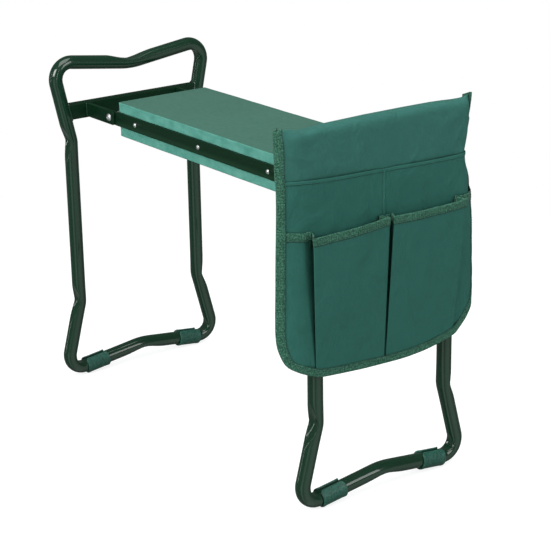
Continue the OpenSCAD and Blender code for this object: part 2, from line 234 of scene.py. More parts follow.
def foam():
    mat = Material("eva_foam")
    coords = mat.node("ShaderNodeTexCoord").outputs
    at = coords["Object"]
    upright = mat.math("ABSOLUTE", mat.split(coords["Normal"])[2])
    skin = mat.ramp(upright, start=0.45, end=0.8)
    # pressed skin on the two faces, painted greyer as a painted grazing reflection
    mottle = mat.noise(at, scale=130, detail=4, roughness=0.65)
    face = mat.mix((0.052, 0.134, 0.101), (0.069, 0.168, 0.128), mat.noise(at, scale=9))
    face = mat.mix(face, (0.090, 0.200, 0.157), mat.ramp(mottle, start=0.35, end=0.7), amount=0.35)
    speck = mat.ramp(mat.noise(at, scale=900, detail=2), start=0.60, end=0.70)
    face = mat.mix(face, (0.05, 0.115, 0.09), speck, amount=0.25)
    # knife-cut sides: open cells and mottled, and painted brighter than the faces as painted side
    # light
    patch = mat.noise(mat.stretch(at, 1.0, 1.0, 1.8), scale=42, detail=4, roughness=0.6)
    cut = mat.mix((0.066, 0.270, 0.210), (0.142, 0.415, 0.335),
                  mat.ramp(patch, start=0.30, end=0.72))
    drag = mat.noise(mat.stretch(at, 0.15, 0.15, 2.5), scale=260)
    cut = mat.mix(cut, (0.175, 0.465, 0.385), drag, amount=0.25)
    cells = mat.ramp(mat.cells(at, scale=1150.0, output="Distance"), start=0.0, end=0.45)
    pits = mat.mul(cells, mat.sub(1.15, skin))
    height = mat.add(mat.mul(pits, 0.8), mat.noise(at, scale=600), amount=0.8)
    height = mat.add(height, mottle, amount=0.5)
    return mat.surface(Base_Color=mat.mix(cut, face, skin),
                       Roughness=mat.sub(0.95, mat.mul(skin, 0.12)),
                       Normal=mat.bump(height, strength=0.35, distance=0.0005),
                       Sheen_Weight=0.0, Specular_IOR_Level=0.06)


def board():
    mat = Material("core_board")
    grain = mat.noise(mat.stretch(mat.coord(), 0.6, 6.0, 6.0), scale=60, detail=5, roughness=0.65)
    return mat.surface(Base_Color=mat.mix((0.012, 0.022, 0.017), (0.035, 0.055, 0.045), grain),
                       Roughness=0.75, Normal=mat.bump(grain, strength=0.4, distance=0.0006))


def weave_height(mat, uv, pitch):
    """Plain weave of two crossed sets of rounded threads, pitch in mm; height in 0..1."""
    waves = [mat.math("SINE", mat.mul(part, math.pi / pitch)) for part in mat.split(uv)[:2]]
    warp, weft = [mat.math("ABSOLUTE", wave) for wave in waves]
    signs = [mat.math("SIGN", wave) for wave in waves]
    on_top = mat.math("GREATER_THAN", mat.mul(*signs), 0.0)
    return mat.add(mat.mul(on_top, warp), mat.mul(mat.sub(1.0, on_top), weft))


def fabric(name, gain):
    """Coated woven cloth; gain scales red, green and blue of all its colours, and the pockets' lower
    gain paints them darker as painted shade.
    """
    mat = Material(name)

    def tint_and_shade(*colour):
        return tuple(g * part for g, part in zip(gain, colour))

    uv, at = mat.coord("UV"), mat.coord()
    weave = weave_height(mat, uv, pitch=0.75)
    slubs = [mat.noise(mat.stretch(uv, x, y, 1.0), scale=1.0) for x, y in ((0.02, 1.1), (1.1, 0.02))]
    patch = mat.noise(at, scale=75, detail=4, roughness=0.6)
    colour = mat.mix(tint_and_shade(0.029, 0.155, 0.121), tint_and_shade(0.042, 0.197, 0.157),
                     mat.noise(at, scale=11, detail=4))
    colour = mat.mix(colour, tint_and_shade(0.048, 0.216, 0.173), mat.ramp(patch, start=0.35, end=0.7),
                     amount=0.45)
    colour = mat.mix(colour, tint_and_shade(0.058, 0.240, 0.196), mat.add(*slubs), amount=0.16)
    colour = mat.mix(colour, tint_and_shade(0.010, 0.080, 0.064), mat.sub(1.0, weave), amount=0.38)
    # painted shade: folds and the ground beside a seam are darkened where ambient occlusion finds
    # them closed in
    open_sky = mat.node("ShaderNodeAmbientOcclusion", samples=8, Distance=0.017).outputs["AO"]
    colour = mat.mix(colour, tint_and_shade(0.010, 0.056, 0.038),
                     mat.ramp(open_sky, start=0.34, end=0.80, first=1.0, last=0.0), amount=0.92)
    height = mat.add(weave, mat.add(*slubs), amount=0.55)
    wrinkle = mat.noise(mat.stretch(at, 1.0, 1.0, 0.7), scale=24.0, detail=4.0, roughness=0.5,
                        distortion=0.8)
    normal = mat.bump(wrinkle, strength=0.75, distance=0.006)
    normal = mat.bump(patch, strength=0.4, distance=0.0014, normal=normal)
    normal = mat.bump(height, strength=0.45, distance=0.00035, normal=normal)
    return mat.surface(Base_Color=colour, Roughness=mat.add(0.52, patch, amount=0.14),
                       Normal=normal, Sheen_Weight=0.04, Sheen_Roughness=0.45,
                       Sheen_Tint=(0.45, 0.85, 0.75), Specular_IOR_Level=0.16)


def tape():
    """Ribbed binding: uv runs in mm along the tape and across it from its edge."""
    mat = Material("binding_tape")
    uv, at = mat.coord("UV"), mat.coord()
    along, across = mat.split(uv)[:2]

    def wave(value, pitch):
        sine = mat.math("SINE", mat.mul(value, 2 * math.pi / pitch))
        return mat.math("MULTIPLY_ADD", sine, 0.5, 0.5)

    ribs = mat.math("MULTIPLY_ADD", wave(along, pitch=3.6), 0.7, 0.3)
    threads = mat.math("MULTIPLY_ADD", wave(across, pitch=1.1), 0.5, 0.5)
    weave = mat.mul(ribs, threads)
    fleck = mat.noise(mat.stretch(at, 1.0, 1.0, 1.3), scale=540, roughness=0.75)
    colour = mat.mix((0.022, 0.094, 0.056), (0.037, 0.140, 0.087),
                     mat.noise(at, scale=60, detail=4, roughness=0.6))
    colour = mat.mix(colour, (0.096, 0.285, 0.196), mat.ramp(fleck, start=0.46, end=0.60))
    colour = mat.mix(colour, (0.010, 0.050, 0.031),
                     mat.ramp(fleck, start=0.35, end=0.48, first=0.9, last=0.0))
    colour = mat.mix(colour, (0.013, 0.060, 0.038), mat.sub(1.0, weave), amount=0.5)
    # the cut edge and the row of stitches sit in shadow
    rim = mat.ramp(mat.math("DIVIDE", across, 10.0), start=0.04, end=0.15, first=1.0, last=0.0)
    seam = mat.ramp(mat.math("ABSOLUTE", mat.sub(across, 2.4)), start=0.35, end=0.9,
                    first=1.0, last=0.0)
    shadow = mat.add(mat.mul(rim, 0.6), seam, amount=0.28, clamp=True)
    colour = mat.mix(colour, (0.008, 0.040, 0.025), shadow)
    height = mat.add(weave, fleck, amount=0.8)
    return mat.surface(Base_Color=colour, Roughness=0.78,
                       Normal=mat.bump(height, strength=0.8, distance=0.0006),
                       Sheen_Weight=0.08, Sheen_Roughness=0.5, Specular_IOR_Level=0.12)


def thread():
    mat = Material("sewing_thread")
    twist = mat.noise(mat.stretch(mat.coord(), 1.0, 1.0, 1.0), scale=2600, detail=2)
    return mat.surface(Base_Color=mat.mix((0.020, 0.115, 0.086), (0.050, 0.205, 0.160), twist),
                       Roughness=0.6, Normal=mat.bump(twist, strength=0.4, distance=0.0001),
                       Sheen_Weight=0.2)


# each finish is a material and the slot it fills
GLOSS = (paint("gloss_green_powder_coat", base=(0.0044, 0.0275, 0.0130),
               light=(0.0078, 0.0385, 0.0192), roughness=0.20, coat=0.95, peel=0.12,
               specular=0.30), "tube_paint")
SATIN = (paint("satin_green_powder_coat", base=(0.0025, 0.0190, 0.0070),
               light=(0.0055, 0.0290, 0.0125), roughness=0.34, coat=0.02, peel=0.30,
               specular=0.14), "rail_paint")
ZINC = (zinc(), "zinc_steel")
PLASTIC = (plastic(), "foot_plastic")
FOAM = (foam(), "foam")
BOARD = (board(), "core_board")
PANEL = (fabric("coated_polyester_panel", gain=(0.99, 0.87, 0.90)), "pouch_fabric")
# the pockets use the panel's cloth at a lower gain: painted shade
SHADED_POCKET_CLOTH = (fabric("coated_polyester_pockets_painted_shade", gain=(0.77, 0.79, 0.79)), "pouch_fabric")
TAPE = (tape(), "edge_tape")
THREAD = (thread(), "edge_tape")


# ------------------------------------------------------------------ mesh tools
# A mesh is a tuple: points in mm, faces and, for some pieces, one uv pair per point.

def make(name, mesh, finish, body, stands_for=None, sharp=None):
    """A smooth-shaded piece riding on body; edges over sharp degrees stay crisp."""
    points, faces, *uv = mesh
    data = bpy.data.meshes.new(name)
    data.from_pydata((np.asarray(points, float) * MM).tolist(), [],
                     [list(map(int, face)) for face in faces])
    if uv:
        layer = data.uv_layers.new(name="uv")
        corners = np.zeros(len(data.loops), np.int32)
        data.loops.foreach_get("vertex_index", corners)
        layer.data.foreach_set("uv", np.asarray(uv[0], np.float32)[corners].ravel())
    data.update()
    work = bmesh.new()
    work.from_mesh(data)
    bmesh.ops.recalc_face_normals(work, faces=work.faces)
    work.to_mesh(data)
    work.free()
    data.polygons.foreach_set("use_smooth", np.ones(len(data.polygons), bool))
    if sharp is not None:
        data.set_sharp_from_angle(angle=math.radians(sharp))
    material, slot = finish
    data.materials.append(material)
    piece = bpy.data.objects.new(name, data)
    scene.collection.objects.link(piece)
    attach(piece, body)
    if stands_for:
        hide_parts(stands_for)


def merge(meshes):
    faces, start = [], 0
    for mesh in meshes:
        faces += [[i + start for i in face] for face in mesh[1]]
        start += len(mesh[0])
    points, *uv = [np.vstack([mesh[k] for mesh in meshes])
                   for k in range(len(meshes[0])) if k != 1]
    return points, faces, *uv


def unit(vectors):
    return vectors / np.maximum(np.linalg.norm(vectors, axis=-1, keepdims=True), 1e-9)


def travel(path):
    """Distance along a path at each of its points."""
    return np.concatenate([[0], np.cumsum(np.linalg.norm(np.diff(path, axis=0), axis=1))])


def around(segments):
    return np.linspace(0, 2 * np.pi, segments, endpoint=False)


def smoothstep(value, start, end):
    share = np.clip((np.asarray(value, float) - start) / (end - start), 0, 1)
    return share * share * (3 - 2 * share)


def rings(points, closed=False):
    """Skin over successive rings, shape (rings, points, 3): capped, or closed into a hoop."""
    points = np.asarray(points)
    rows, count, _ = points.shape
    i = np.arange(rows if closed else rows - 1)[:, None]
    j = np.arange(count)[None, :]
    after, beside = (i + 1) % rows * count, (j + 1) % count
    faces = np.stack([i * count + j, i * count + beside, after + beside, after + j], -1)
    faces = faces.reshape(-1, 4).tolist()
    if not closed:
        faces.append(list(range(count))[::-1])
        faces.append([(rows - 1) * count + k for k in range(count)])
    return points.reshape(-1, 3), faces


def inset(outline, distance):
    """A counter-clockwise outline moved inwards."""
    edges = unit(np.roll(outline, -1, 0) - outline)
    normals = np.stack([-edges[:, 1], edges[:, 0]], 1)
    corner = normals + np.roll(normals, 1, 0)
    return outline + corner / np.maximum((corner * normals).sum(1), 0.35)[:, None] * distance


def plate(outline, inner, outer, bevel):
    """Plate of an (x, z) outline between two values of y, with rounded edges."""
    outline = np.asarray(outline, float)
    x, z = outline.T
    if np.sum(x * np.roll(z, -1) - np.roll(x, -1) * z) < 0:
        outline = outline[::-1]
    low, high = sorted((inner, outer))
    sections = []
    for face_y, inward, angles in ((low, 1, (0, 30, 60, 90)), (high, -1, (90, 60, 30, 0))):
        for angle in np.radians(angles):
            edge = inset(outline, bevel * (1 - math.sin(angle)))
            y = face_y + inward * bevel * (1 - math.cos(angle))
            sections.append(np.column_stack([edge[:, 0], np.full(len(edge), y), edge[:, 1]]))
    return rings(sections)


def lathe(profile, x, y, way, segments, closed=False, limit=np.inf):
    """Part turned on an axis along Y at pivot height; profile is (radius, height).

    Height grows from y towards way; limit caps the radius at each angle."""
    angles = around(segments)
    sections = []
    for radius, height in profile:
        reach = np.minimum(limit, radius)
        sections.append(np.column_stack([x + reach * np.cos(angles),
                                         np.full(segments, y + way * height),
                                         PIVOT_Z + reach * np.sin(angles)]))
    return rings(sections, closed)


def cord(path, radii, up, segments, closed=False):
    """Round strip of changing radius along a path."""
    if closed:
        tangent = np.roll(path, -1, 0) - np.roll(path, 1, 0)
    else:
        tangent = np.gradient(path, axis=0)
    tangent = unit(tangent)
    first = unit(np.cross(tangent, up))
    second = np.cross(tangent, first)
    angles = around(segments)[None, :, None]
    spokes = np.cos(angles) * first[:, None] + np.sin(angles) * second[:, None]
    return rings(path[:, None] + radii[:, None, None] * spokes, closed)


def bead(path, radius, closed=False, seed=0):
    """Rippled weld bead along a path."""
    rng = np.random.default_rng(seed)
    count = len(path)
    radii = radius * (1 + 0.16 * np.sin(travel(path) / 1.5 * 2 * np.pi)
                      + rng.normal(0, 0.06, count))
    if not closed:
        k = np.arange(count)
        radii *= np.clip(np.minimum(k + 0.4, count - 0.6 - k) / 2.0, 0.25, 1)
    return cord(path, radii, np.array([0.13, 0.21, 0.97]), 8, closed)


def divide(outline, step):
    """Closed outline with its long edges cut into pieces of at least step."""
    outline = np.asarray(outline, float)
    points = []
    for start, end in zip(outline, np.roll(outline, -1, 0)):
        count = max(1, int(np.linalg.norm(end - start) / step))
        points += [start + (end - start) * k / count for k in range(count)]
    return np.array(points)


def rounded_rect(width, height, radius, steps=5):
    points = []
    for sx, sy, first in ((1, 1, 0), (-1, 1, 90), (-1, -1, 180), (1, -1, 270)):
        for k in range(steps + 1):
            angle = math.radians(first + 90 * k / steps)
            points.append((sx * (width / 2 - radius) + radius * math.cos(angle),
                           sy * (height / 2 - radius) + radius * math.sin(angle)))
    return np.array(points)


# ------------------------------------------------------------------ leg loops

def loop_path(step=2.0):
    """(y, z) points round the loop, and each corner's middle index and inward direction."""
    corners = np.array(LOOP, float)[:, :2]
    bends = []
    for i, corner in enumerate(corners):
        to_last = unit(corners[i - 1] - corner)
        to_next = unit(corners[(i + 1) % len(corners)] - corner)
        turn = math.pi - math.acos(float(to_last @ to_next))
        radius = LOOP[i][2]
        setback = radius * math.tan(turn / 2)
        inward = unit(to_last + to_next)
        bends.append((corner + to_last * setback, corner + to_next * setback,
                      corner + inward * radius / math.cos(turn / 2), turn, radius, inward))
    points, middles = [], []
    for i, (start, end, centre, turn, radius, inward) in enumerate(bends):
        count = max(4, int(math.ceil(turn * radius / step)))
        count += count % 2
        middles.append((len(points) + count // 2, inward))
        for k in range(count):
            share = k / count
            arm = (math.sin((1 - share) * turn) * (start - centre)
                   + math.sin(share * turn) * (end - centre))
            points.append(centre + arm / math.sin(turn))
        straight = bends[(i + 1) % len(bends)][0] - end
        count = max(2, int(round(np.linalg.norm(straight) / step)))
        points += [end + straight * k / count for k in range(count)]
    return np.array(points), middles


def leg_tube(side):
    """The bent tube, flattened on the inside of every bend."""
    path, middles = loop_path()
    tangent = unit(np.roll(path, -1, 0) - np.roll(path, 1, 0))
    normal = np.column_stack([-tangent[:, 1], tangent[:, 0]])
    place = travel(path)
    total = place[-1] + np.linalg.norm(path[0] - path[-1])
    count = len(path)
    angles = around(44)
    # each section's offsets in the loop's plane and along X
    in_plane = np.tile(TUBE_R * np.cos(angles), (count, 1))
    sideways = np.tile(TUBE_R * np.sin(angles), (count, 1))
    for (middle, inward), (depth, half_length, crease, dish) in zip(middles, DENTS):
        gap = np.abs(place - place[middle])
        gap = np.minimum(gap, total - gap)
        sign = 1.0 if normal[middle] @ inward > 0 else -1.0
        near = np.clip(1 - gap / half_length, 0, 1)
        profile = crease * near ** 1.25 + (1 - crease) * (near * near * (3 - 2 * near))
        dent = (depth * profile)[:, None]
        limit = TUBE_R - dent - dish * dent * (1 - (sideways / TUBE_R) ** 2)
        reach = sign * in_plane
        # smooth minimum of the round section and the dent
        blend = 0.55 * np.minimum(1, dent / 1.0)
        soft = 0.5 * (reach + limit - np.sqrt((reach - limit) ** 2 + blend * blend + 1e-9))
        in_plane = np.where(dent > 1e-4, sign * soft, in_plane)
        sideways = sideways * (1 + 0.13 * dent / TUBE_R)
    centre = np.column_stack([np.full(count, side * LEG_X), path])
    normal = np.column_stack([np.zeros(count), normal])
    return rings(centre[:, None] + in_plane[..., None] * normal[:, None]
                 + sideways[..., None] * np.array([1.0, 0, 0]), closed=True)


def upright_y(z):
    """Centre of the rear upright's upper, leaning part."""
    (low_y, low_z), (high_y, high_z) = LOOP[3][:2], LOOP[4][:2]
    return low_y + (z - low_z) * (high_y - low_y) / (high_z - low_z)


def upright_face(x, z):
    """Surface of that upright towards the middle, x from the tube's axis."""
    return upright_y(z) - np.sqrt(TUBE_R ** 2 - x ** 2)


def crossbar(side):
    x, z = rounded_rect(12, 24, 2.4).T
    z = PIVOT_Z + z
    reach = upright_face(x, z) + 1.2
    stations = (-1.0, -0.97, -0.9, -0.6, -0.3, 0, 0.3, 0.6, 0.9, 0.97, 1.0)
    return rings([np.column_stack([side * LEG_X + x, k * reach, z]) for k in stations])


def weld_beads(side):
    """Beads round the crossbar ends and at the hinge plates' roots."""
    x, z = divide(rounded_rect(12.6, 24.6, 2.6, 6), 0.9).T
    z = PIVOT_Z + z
    y = upright_face(x, z) - 0.35
    root_z = np.arange(PIVOT_Z - 9.6, PIVOT_Z + 9.7, 0.8)
    root_x = np.full(len(root_z), side * (LEG_X - 6.15))
    beads = []
    for end, _ in ENDS:
        beads.append(bead(np.column_stack([side * LEG_X + x, end * y, z]), 1.25, closed=True,
                          seed=3 + end))
        for root_y, radius in ((78.15, 0.72), (80.0, 1.0)):
            line = np.column_stack([root_x, np.full(len(root_z), end * root_y), root_z])
            beads.append(bead(line, radius, seed=11 + end))
    return merge(beads)


def hinge_plate(side, end):
    radius, nose, root = 4.5, 209.5, 284.3
    low, high = PIVOT_Z - STRIP_HALF, PIVOT_Z + STRIP_HALF
    points = [(root, low), (root, high)]
    for centre_z, first in ((high - radius, 90), (low + radius, 180)):
        for k in range(7):
            angle = math.radians(first + 15 * k)
            points.append((nose + radius + radius * math.cos(angle),
                           centre_z + radius * math.sin(angle)))
    return plate([(side * x, z) for x, z in points], end * PLATE_IN, end * PLATE_OUT, 0.45)


CLIP_OUT, CLIP_IN = 12.5, 9.96
CLIP_MID, CLIP_HALF_T = (CLIP_OUT + CLIP_IN) / 2, (CLIP_OUT - CLIP_IN) / 2
CLIP_Y = 83.5
# distance from the clip's middle, and how far the wall thins to its mid radius there
CLIP_END = [(19.0, 0.6), (18.85, 0.35), (18.5, 0.12), (18.0, 0.0), (17.2, 0.0), (16.2, 0.0),
            (15.0, 0.0), (13.5, 0.0)]
# grip mark along its length: degrees above the horizontal, height, half width
GRIP = [(44, 0.05, 0.2), (39, 0.34, 0.5), (20, 0.4, 0.55), (0, 0.4, 0.55), (-14, 0.34, 0.5),
        (-19, 0.05, 0.2)]


def clip_section(lip):
    """C-shaped section, open at the top, with round lips at angle lip."""
    def arc(radius, start, end, count):
        angles = np.radians(np.linspace(start, end, count))
        return radius * np.column_stack([np.cos(angles), np.sin(angles)])

    def lip_end(angle, sense, start, end):
        angle = math.radians(angle)
        out = np.array([math.cos(angle), math.sin(angle)])
        tip = sense * np.array([math.sin(angle), -math.cos(angle)])
        sweep = np.radians(np.linspace(start, end, 9)[1:-1])[:, None]
        return CLIP_MID * out + CLIP_HALF_T * (out * np.cos(sweep) + tip * np.sin(sweep))

    return np.vstack([arc(CLIP_OUT, lip, -180 - lip, 121), lip_end(180 - lip, 1, 0, 180),
                      arc(CLIP_IN, -180 - lip, lip, 61), lip_end(lip, -1, 180, 0)])


def foot_clip(side, end):
    """Foot clipped under the bottom tube, with grip marks on both flanks."""
    run, drop = LOOP[1][0], LOOP[0][1] - LOOP[1][1]
    slope = math.atan2(drop, run)
    centre = np.array([side * LEG_X, end * CLIP_Y, LOOP[0][1] - CLIP_Y * drop / run])
    across = np.array([1.0, 0, 0])
    along = np.array([0, math.cos(slope), -end * math.sin(slope)])
    normal = np.array([0, end * math.sin(slope), math.cos(slope)])
    stations = ([(-place, thin) for place, thin in CLIP_END]
                + [(place, 0.0) for place in (-10.0, -6.0, -2.0, 2.0, 6.0, 10.0)]
                + CLIP_END[::-1])
    sections = []
    for place, thin in stations:
        # the lips' corners are rounded off towards both ends
        section = clip_section(69.0 - 22.0 * max(0.0, (abs(place) - 13.5) / 5.5) ** 2.2)
        radius = np.linalg.norm(section, axis=1)
        section = section + (section / radius[:, None] * CLIP_MID - section) * thin
        # a shallow moulded collar at each end
        collar = 0.022 * smoothstep(abs(place), 13.5, 15.5) * (radius > 11.5)
        section = section * (1 + collar)[:, None]
        sections.append(centre + place * along + section[:, :1] * across
                        + section[:, 1:] * normal)
    sections = np.array(sections)
    sections[..., 2] = np.maximum(sections[..., 2], 0.0)
    parts = [rings(sections)]
    for flank in (-1, 1):
        for k in range(6):
            middle = centre + (-7.0 + 2.8 * k) * along
            mark = []
            for degrees, height, half in GRIP:
                angle = math.radians(degrees)
                out = across * flank * math.cos(angle) + normal * math.sin(angle)
                corners = [(12.2, -half), (12.2, half), (CLIP_OUT + height, half * 0.45),
                           (CLIP_OUT + height, -half * 0.45)]
                mark.append([middle + shift * along + radius * out for radius, shift in corners])
            parts.append(rings(mark))
    return merge(parts)


for side, word in SIDES:
    body = word + "_leg"
    make(word + "_loop_tube", leg_tube(side), GLOSS, body, word + "_leg_tube")
    make(word + "_bench_crossbar", crossbar(side), SATIN, body, word + "_crossbar", sharp=35)
    make(word + "_weld_beads", weld_beads(side), GLOSS, body)
    for end, place in ENDS:
        make(f"{word}_hinge_plate_{place}", hinge_plate(side, end), SATIN, body,
             f"{word}_bracket_{place}", sharp=40)
        make(f"{word}_clip_{place}", foot_clip(side, end), PLASTIC, body,
             f"{word}_foot_{place}", sharp=50)


# ------------------------------------------------------------------ seat

def slab(length, depth, thickness, middle_z, radius, seed, step=7.0, crown=0.5, waver=0.35):
    """Block with rounded edges, crowned faces and a hand-cut waver along its sides."""
    half = np.array([length, depth, thickness]) / 2
    half_x, half_y, half_z = half

    def stations(half, step):
        edge = np.array([0, 0.35, 0.7, 0.9]) * radius
        inner = np.linspace(-(half - radius), half - radius, max(2, int(2 * half / step)))
        return np.concatenate([-half + edge, inner, (half - edge)[::-1]])

    xs, ys, zs = stations(half_x, step), stations(half_y, step), stations(half_z, 3.0)
    work = bmesh.new()

    def face(first, second, place):
        grid = [[work.verts.new(place(a, b)) for b in second] for a in first]
        for i in range(len(first) - 1):
            for j in range(len(second) - 1):
                work.faces.new((grid[i][j], grid[i + 1][j], grid[i + 1][j + 1], grid[i][j + 1]))

    for sign in (-1, 1):
        face(xs, ys, lambda a, b: (a, b, sign * half_z))
        face(xs, zs, lambda a, b: (a, sign * half_y, b))
        face(ys, zs, lambda a, b: (sign * half_x, a, b))
    bmesh.ops.remove_doubles(work, verts=work.verts, dist=1e-4)
    work.verts.ensure_lookup_table()
    points = np.array([vert.co[:] for vert in work.verts])
    faces = [[vert.index for vert in face.verts] for face in work.faces]
    work.free()

    # round the edges about a smaller core box
    core = np.clip(points, -(half - radius), half - radius)
    off = points - core
    far = np.linalg.norm(off, axis=1) > 1e-9
    points[far] = core[far] + unit(off[far]) * radius

    phase = np.random.default_rng(seed).uniform(0, 6.28, 12)
    x, y, z = points.T
    side_x = smoothstep(np.abs(x), half_x - radius - 1, half_x) * np.sign(x)
    side_y = smoothstep(np.abs(y), half_y - radius - 1, half_y) * np.sign(y)
    wave_x = waver * (np.sin(y / 23 + phase[3]) + 0.6 * np.sin(y / 9.1 + z / 5 + phase[4])) * 0.5
    wave_y = waver * (np.sin(x / 31 + phase[0]) + 0.6 * np.sin(x / 13.7 + phase[1])
                      + 0.5 * np.sin(x / 7.1 + z / 4 + phase[2])) * 0.5
    # the sides pull in slightly at mid height
    pull = -0.45 * (1 - (z / half_z) ** 2) - 0.25
    dome = (crown * (1 - (x / half_x) ** 4) * (1 - (y / half_y) ** 4)
            + 0.16 * np.sin(x / 37 + phase[5]) * np.sin(y / 26 + phase[6]))
    lift = np.sign(z) * smoothstep(np.abs(z), half_z - 0.8, half_z) * (dome - crown)
    return np.column_stack([x + side_x * (wave_x + pull), y + side_y * (wave_y + pull),
                            z + lift + middle_z]), faces


PAD_OFFSET = (BOARD_T + PAD_T) / 2
make("foam_pad_upper", slab(410, 149.8, PAD_T, PIVOT_Z + PAD_OFFSET, 2.6, seed=5), FOAM, "seat",
     "foam_top")
make("foam_pad_lower", slab(406, 149.8, PAD_T, PIVOT_Z - PAD_OFFSET, 2.6, seed=9), FOAM, "seat",
     "foam_bottom")
make("core_slab", slab(421.8, 149.6, BOARD_T - 0.04, PIVOT_Z, 1.2, seed=2, step=20, crown=0.0,
                       waver=0.1), BOARD, "seat", "seat_board")

# rail strip outline: x, z
RAIL = [(-283.8, 418), (-283.8, 407), (-280.8, 398), (280.8, 398), (283.8, 407), (283.8, 418)]
RIVET_X = (-157.5, 0, 157.5)
# turned parts: radius, height
RIVET = [(2.0, -14.5), (2.0, -0.02), (3.1, 0.0), (3.33, 0.12), (3.35, 0.4), (3.2, 0.8),
         (2.8, 1.25), (2.1, 1.62), (1.2, 1.83), (0.35, 1.9)]
BOLT = [(2.7, -11.4), (2.98, -11.0), (2.98, -10.6), (2.72, -10.3), (2.98, -10.0), (2.72, -9.7),
        (2.98, -9.4), (2.98, -0.05), (5.3, 0.0), (5.5, 0.25), (5.48, 0.7), (5.2, 1.25),
        (4.6, 1.95), (3.7, 2.6), (2.5, 3.1), (1.6, 3.3), (1.35, 3.28), (1.2, 2.6), (0.3, 2.5)]
WASHER = [(3.12, 0.0), (6.35, 0.0), (6.5, 0.12), (6.5, 0.68), (6.35, 0.8), (3.12, 0.8)]
NUT = [(4.9, 0.0), (5.3, 0.25), (6.0, 0.75), (6.0, 4.25), (5.3, 4.75), (4.9, 5.0), (3.1, 5.0),
       (3.02, 4.6)]
NUT_CORNERS = 11.5          # width across corners
NUT_SEGMENTS = 48
HEXAGON = (NUT_CORNERS / 2 * math.cos(math.radians(30))
           / np.cos((around(NUT_SEGMENTS) % (math.pi / 3)) - math.pi / 6))

for end, place in ENDS:
    make("rail_strip_" + place, plate(divide(RAIL, 25), end * RAIL_IN, end * RAIL_OUT, 0.4),
         SATIN, "seat", "side_rail_" + place, sharp=40)
    make("rail_rivet_set_" + place,
         merge([lathe(RIVET, x, end * RAIL_OUT, end, 28) for x in RIVET_X]),
         ZINC, "seat", "rail_rivets_" + place, sharp=50)

for side, word in SIDES:
    x = side * PIVOT_X
    bolts = [lathe(BOLT, x, end * BOLT_Y, end, 32) for end, _ in ENDS]
    washers = [lathe(WASHER, x, end * RAIL_OUT, end, 36, closed=True) for end, _ in ENDS]
    nuts = [lathe(NUT, x, end * RAIL_IN, -end, NUT_SEGMENTS, limit=HEXAGON) for end, _ in ENDS]
    for kind, pair, sharp in (("bolt", bolts, 45), ("washer", washers, 45), ("nut", nuts, 30)):
        make(f"{word}_pivot_{kind}_pair", merge(pair), ZINC, "seat", f"pivot_{kind}s_{word}",
             sharp=sharp)

# ------------------------------------------------------------------ tool pouch
# The pouch is laid out on a flat pattern: across from its middle (left is towards -Y, as seen
# from outside), z up and proud of the panel. front() bends the pattern round the loop.

HALF = 157.5
SHIFT = -8.0                # y of the pattern's middle
Z_FOLD, Z_BACK = 484.0, 441.5   # start of the fold over the hand rail, end of the back layer
Z_POCKET = 373.0
PLEAT_DEPTH, FLANGE = 13.2, 3.1
TAPE_W, TAPE_T = 9.9, 0.8

# bend round the rear upright: z, y where it starts, radius, most degrees turned
WRAP = np.array([
    [170, 126, 24, 49], [250, 125.7, 24, 49], [280, 124.5, 24, 49], [300, 124, 24, 49],
    [320, 122.9, 24.8, 52], [334, 122.6, 25.6, 54], [348, 120.8, 25.6, 57],
    [362, 120.6, 23.4, 66], [373, 120.4, 21.4, 75], [381, 120.9, 19.8, 81],
    [390, 121.8, 18, 88], [403, 120.4, 16, 97], [412, 118.8, 14.2, 101],
    [420, 117.6, 13, 101], [430, 118.6, 12.6, 98], [436, 119.9, 12.6, 95],
    [441, 121, 12.6, 90], [448, 122.4, 12.6, 82], [455, 123.3, 12.6, 74],
    [462, 123.1, 12.7, 66], [470, 123.5, 12.8, 58], [478, 123.9, 13.3, 52],
    [485, 124.3, 14, 46], [492, 123.4, 15, 40], [498, 122, 16, 34], [520, 121, 17, 31]])
# sweep of the left edge towards -X: z, amount
WING = np.array([
    [170, 12.4], [238, 12.4], [278, 11.8], [304, 10.6], [330, 10], [357, 8.8], [383, 7.4],
    [409, 6.4], [430, 6.4], [465, 7.5], [500, 8.8], [520, 8.8]])
# lower edge from left to right: across, z
OUTLINE = np.array([
    [-157.5, 262], [-157.3, 247], [-155.2, 228.4], [-147.6, 208.6], [-136.4, 199.8],
    [-122.4, 192.0], [-109.4, 186.8], [-95.5, 184.0], [-53, 181.6], [15.2, 177.2],
    [53.5, 179.2], [86.7, 183.8], [114.4, 189.2], [128.5, 198.0], [139.9, 211], [150.6, 225],
    [155.6, 237], [157.5, 249]])
# how much lower than 15 mm the fold rises above Z_FOLD: across, drop
TOP_DROP = np.array([
    [-157.5, 0.2], [-150, -0.2], [-143, -0.4], [-134, 0.8], [-122, 3.8], [-114, 4.8],
    [-100, 4.0], [-85, 2.7], [-64, 2.2], [-17, 1.3], [40, 1.7], [92, 2.3], [107, 2.9],
    [125, 3.9], [138, 3.2], [148, 2.0], [157.5, 1.0]])
# creases standing up in the cloth: start across, z; end across, z; width; height
RIDGES = [
    (-152, 495, -122, 487, 4.0, 1.3), (-148, 488, -96, 446, 9, 0.9), (146, 492, 84, 458, 9, 0.8),
    (128, 476, 60, 478, 7, 0.5), (-60, 492, 40, 489, 6, 0.5), (-146, 497, -118, 489, 2.6, 0.9),
    (-140, 478, -126, 441, 3.2, 0.55), (138, 494, 108, 488, 3.0, 0.8),
    (134, 470, 112, 440, 3.5, 0.6), (-104, 449, -38, 444, 3.0, 0.45),
    (-148, 424, -104, 402, 4.5, 0.6), (20, 420, 96, 400, 6, 0.45),
    (-128, 430, -118, 376, 7, 0.5), (112, 428, 124, 380, 7, 0.5)]


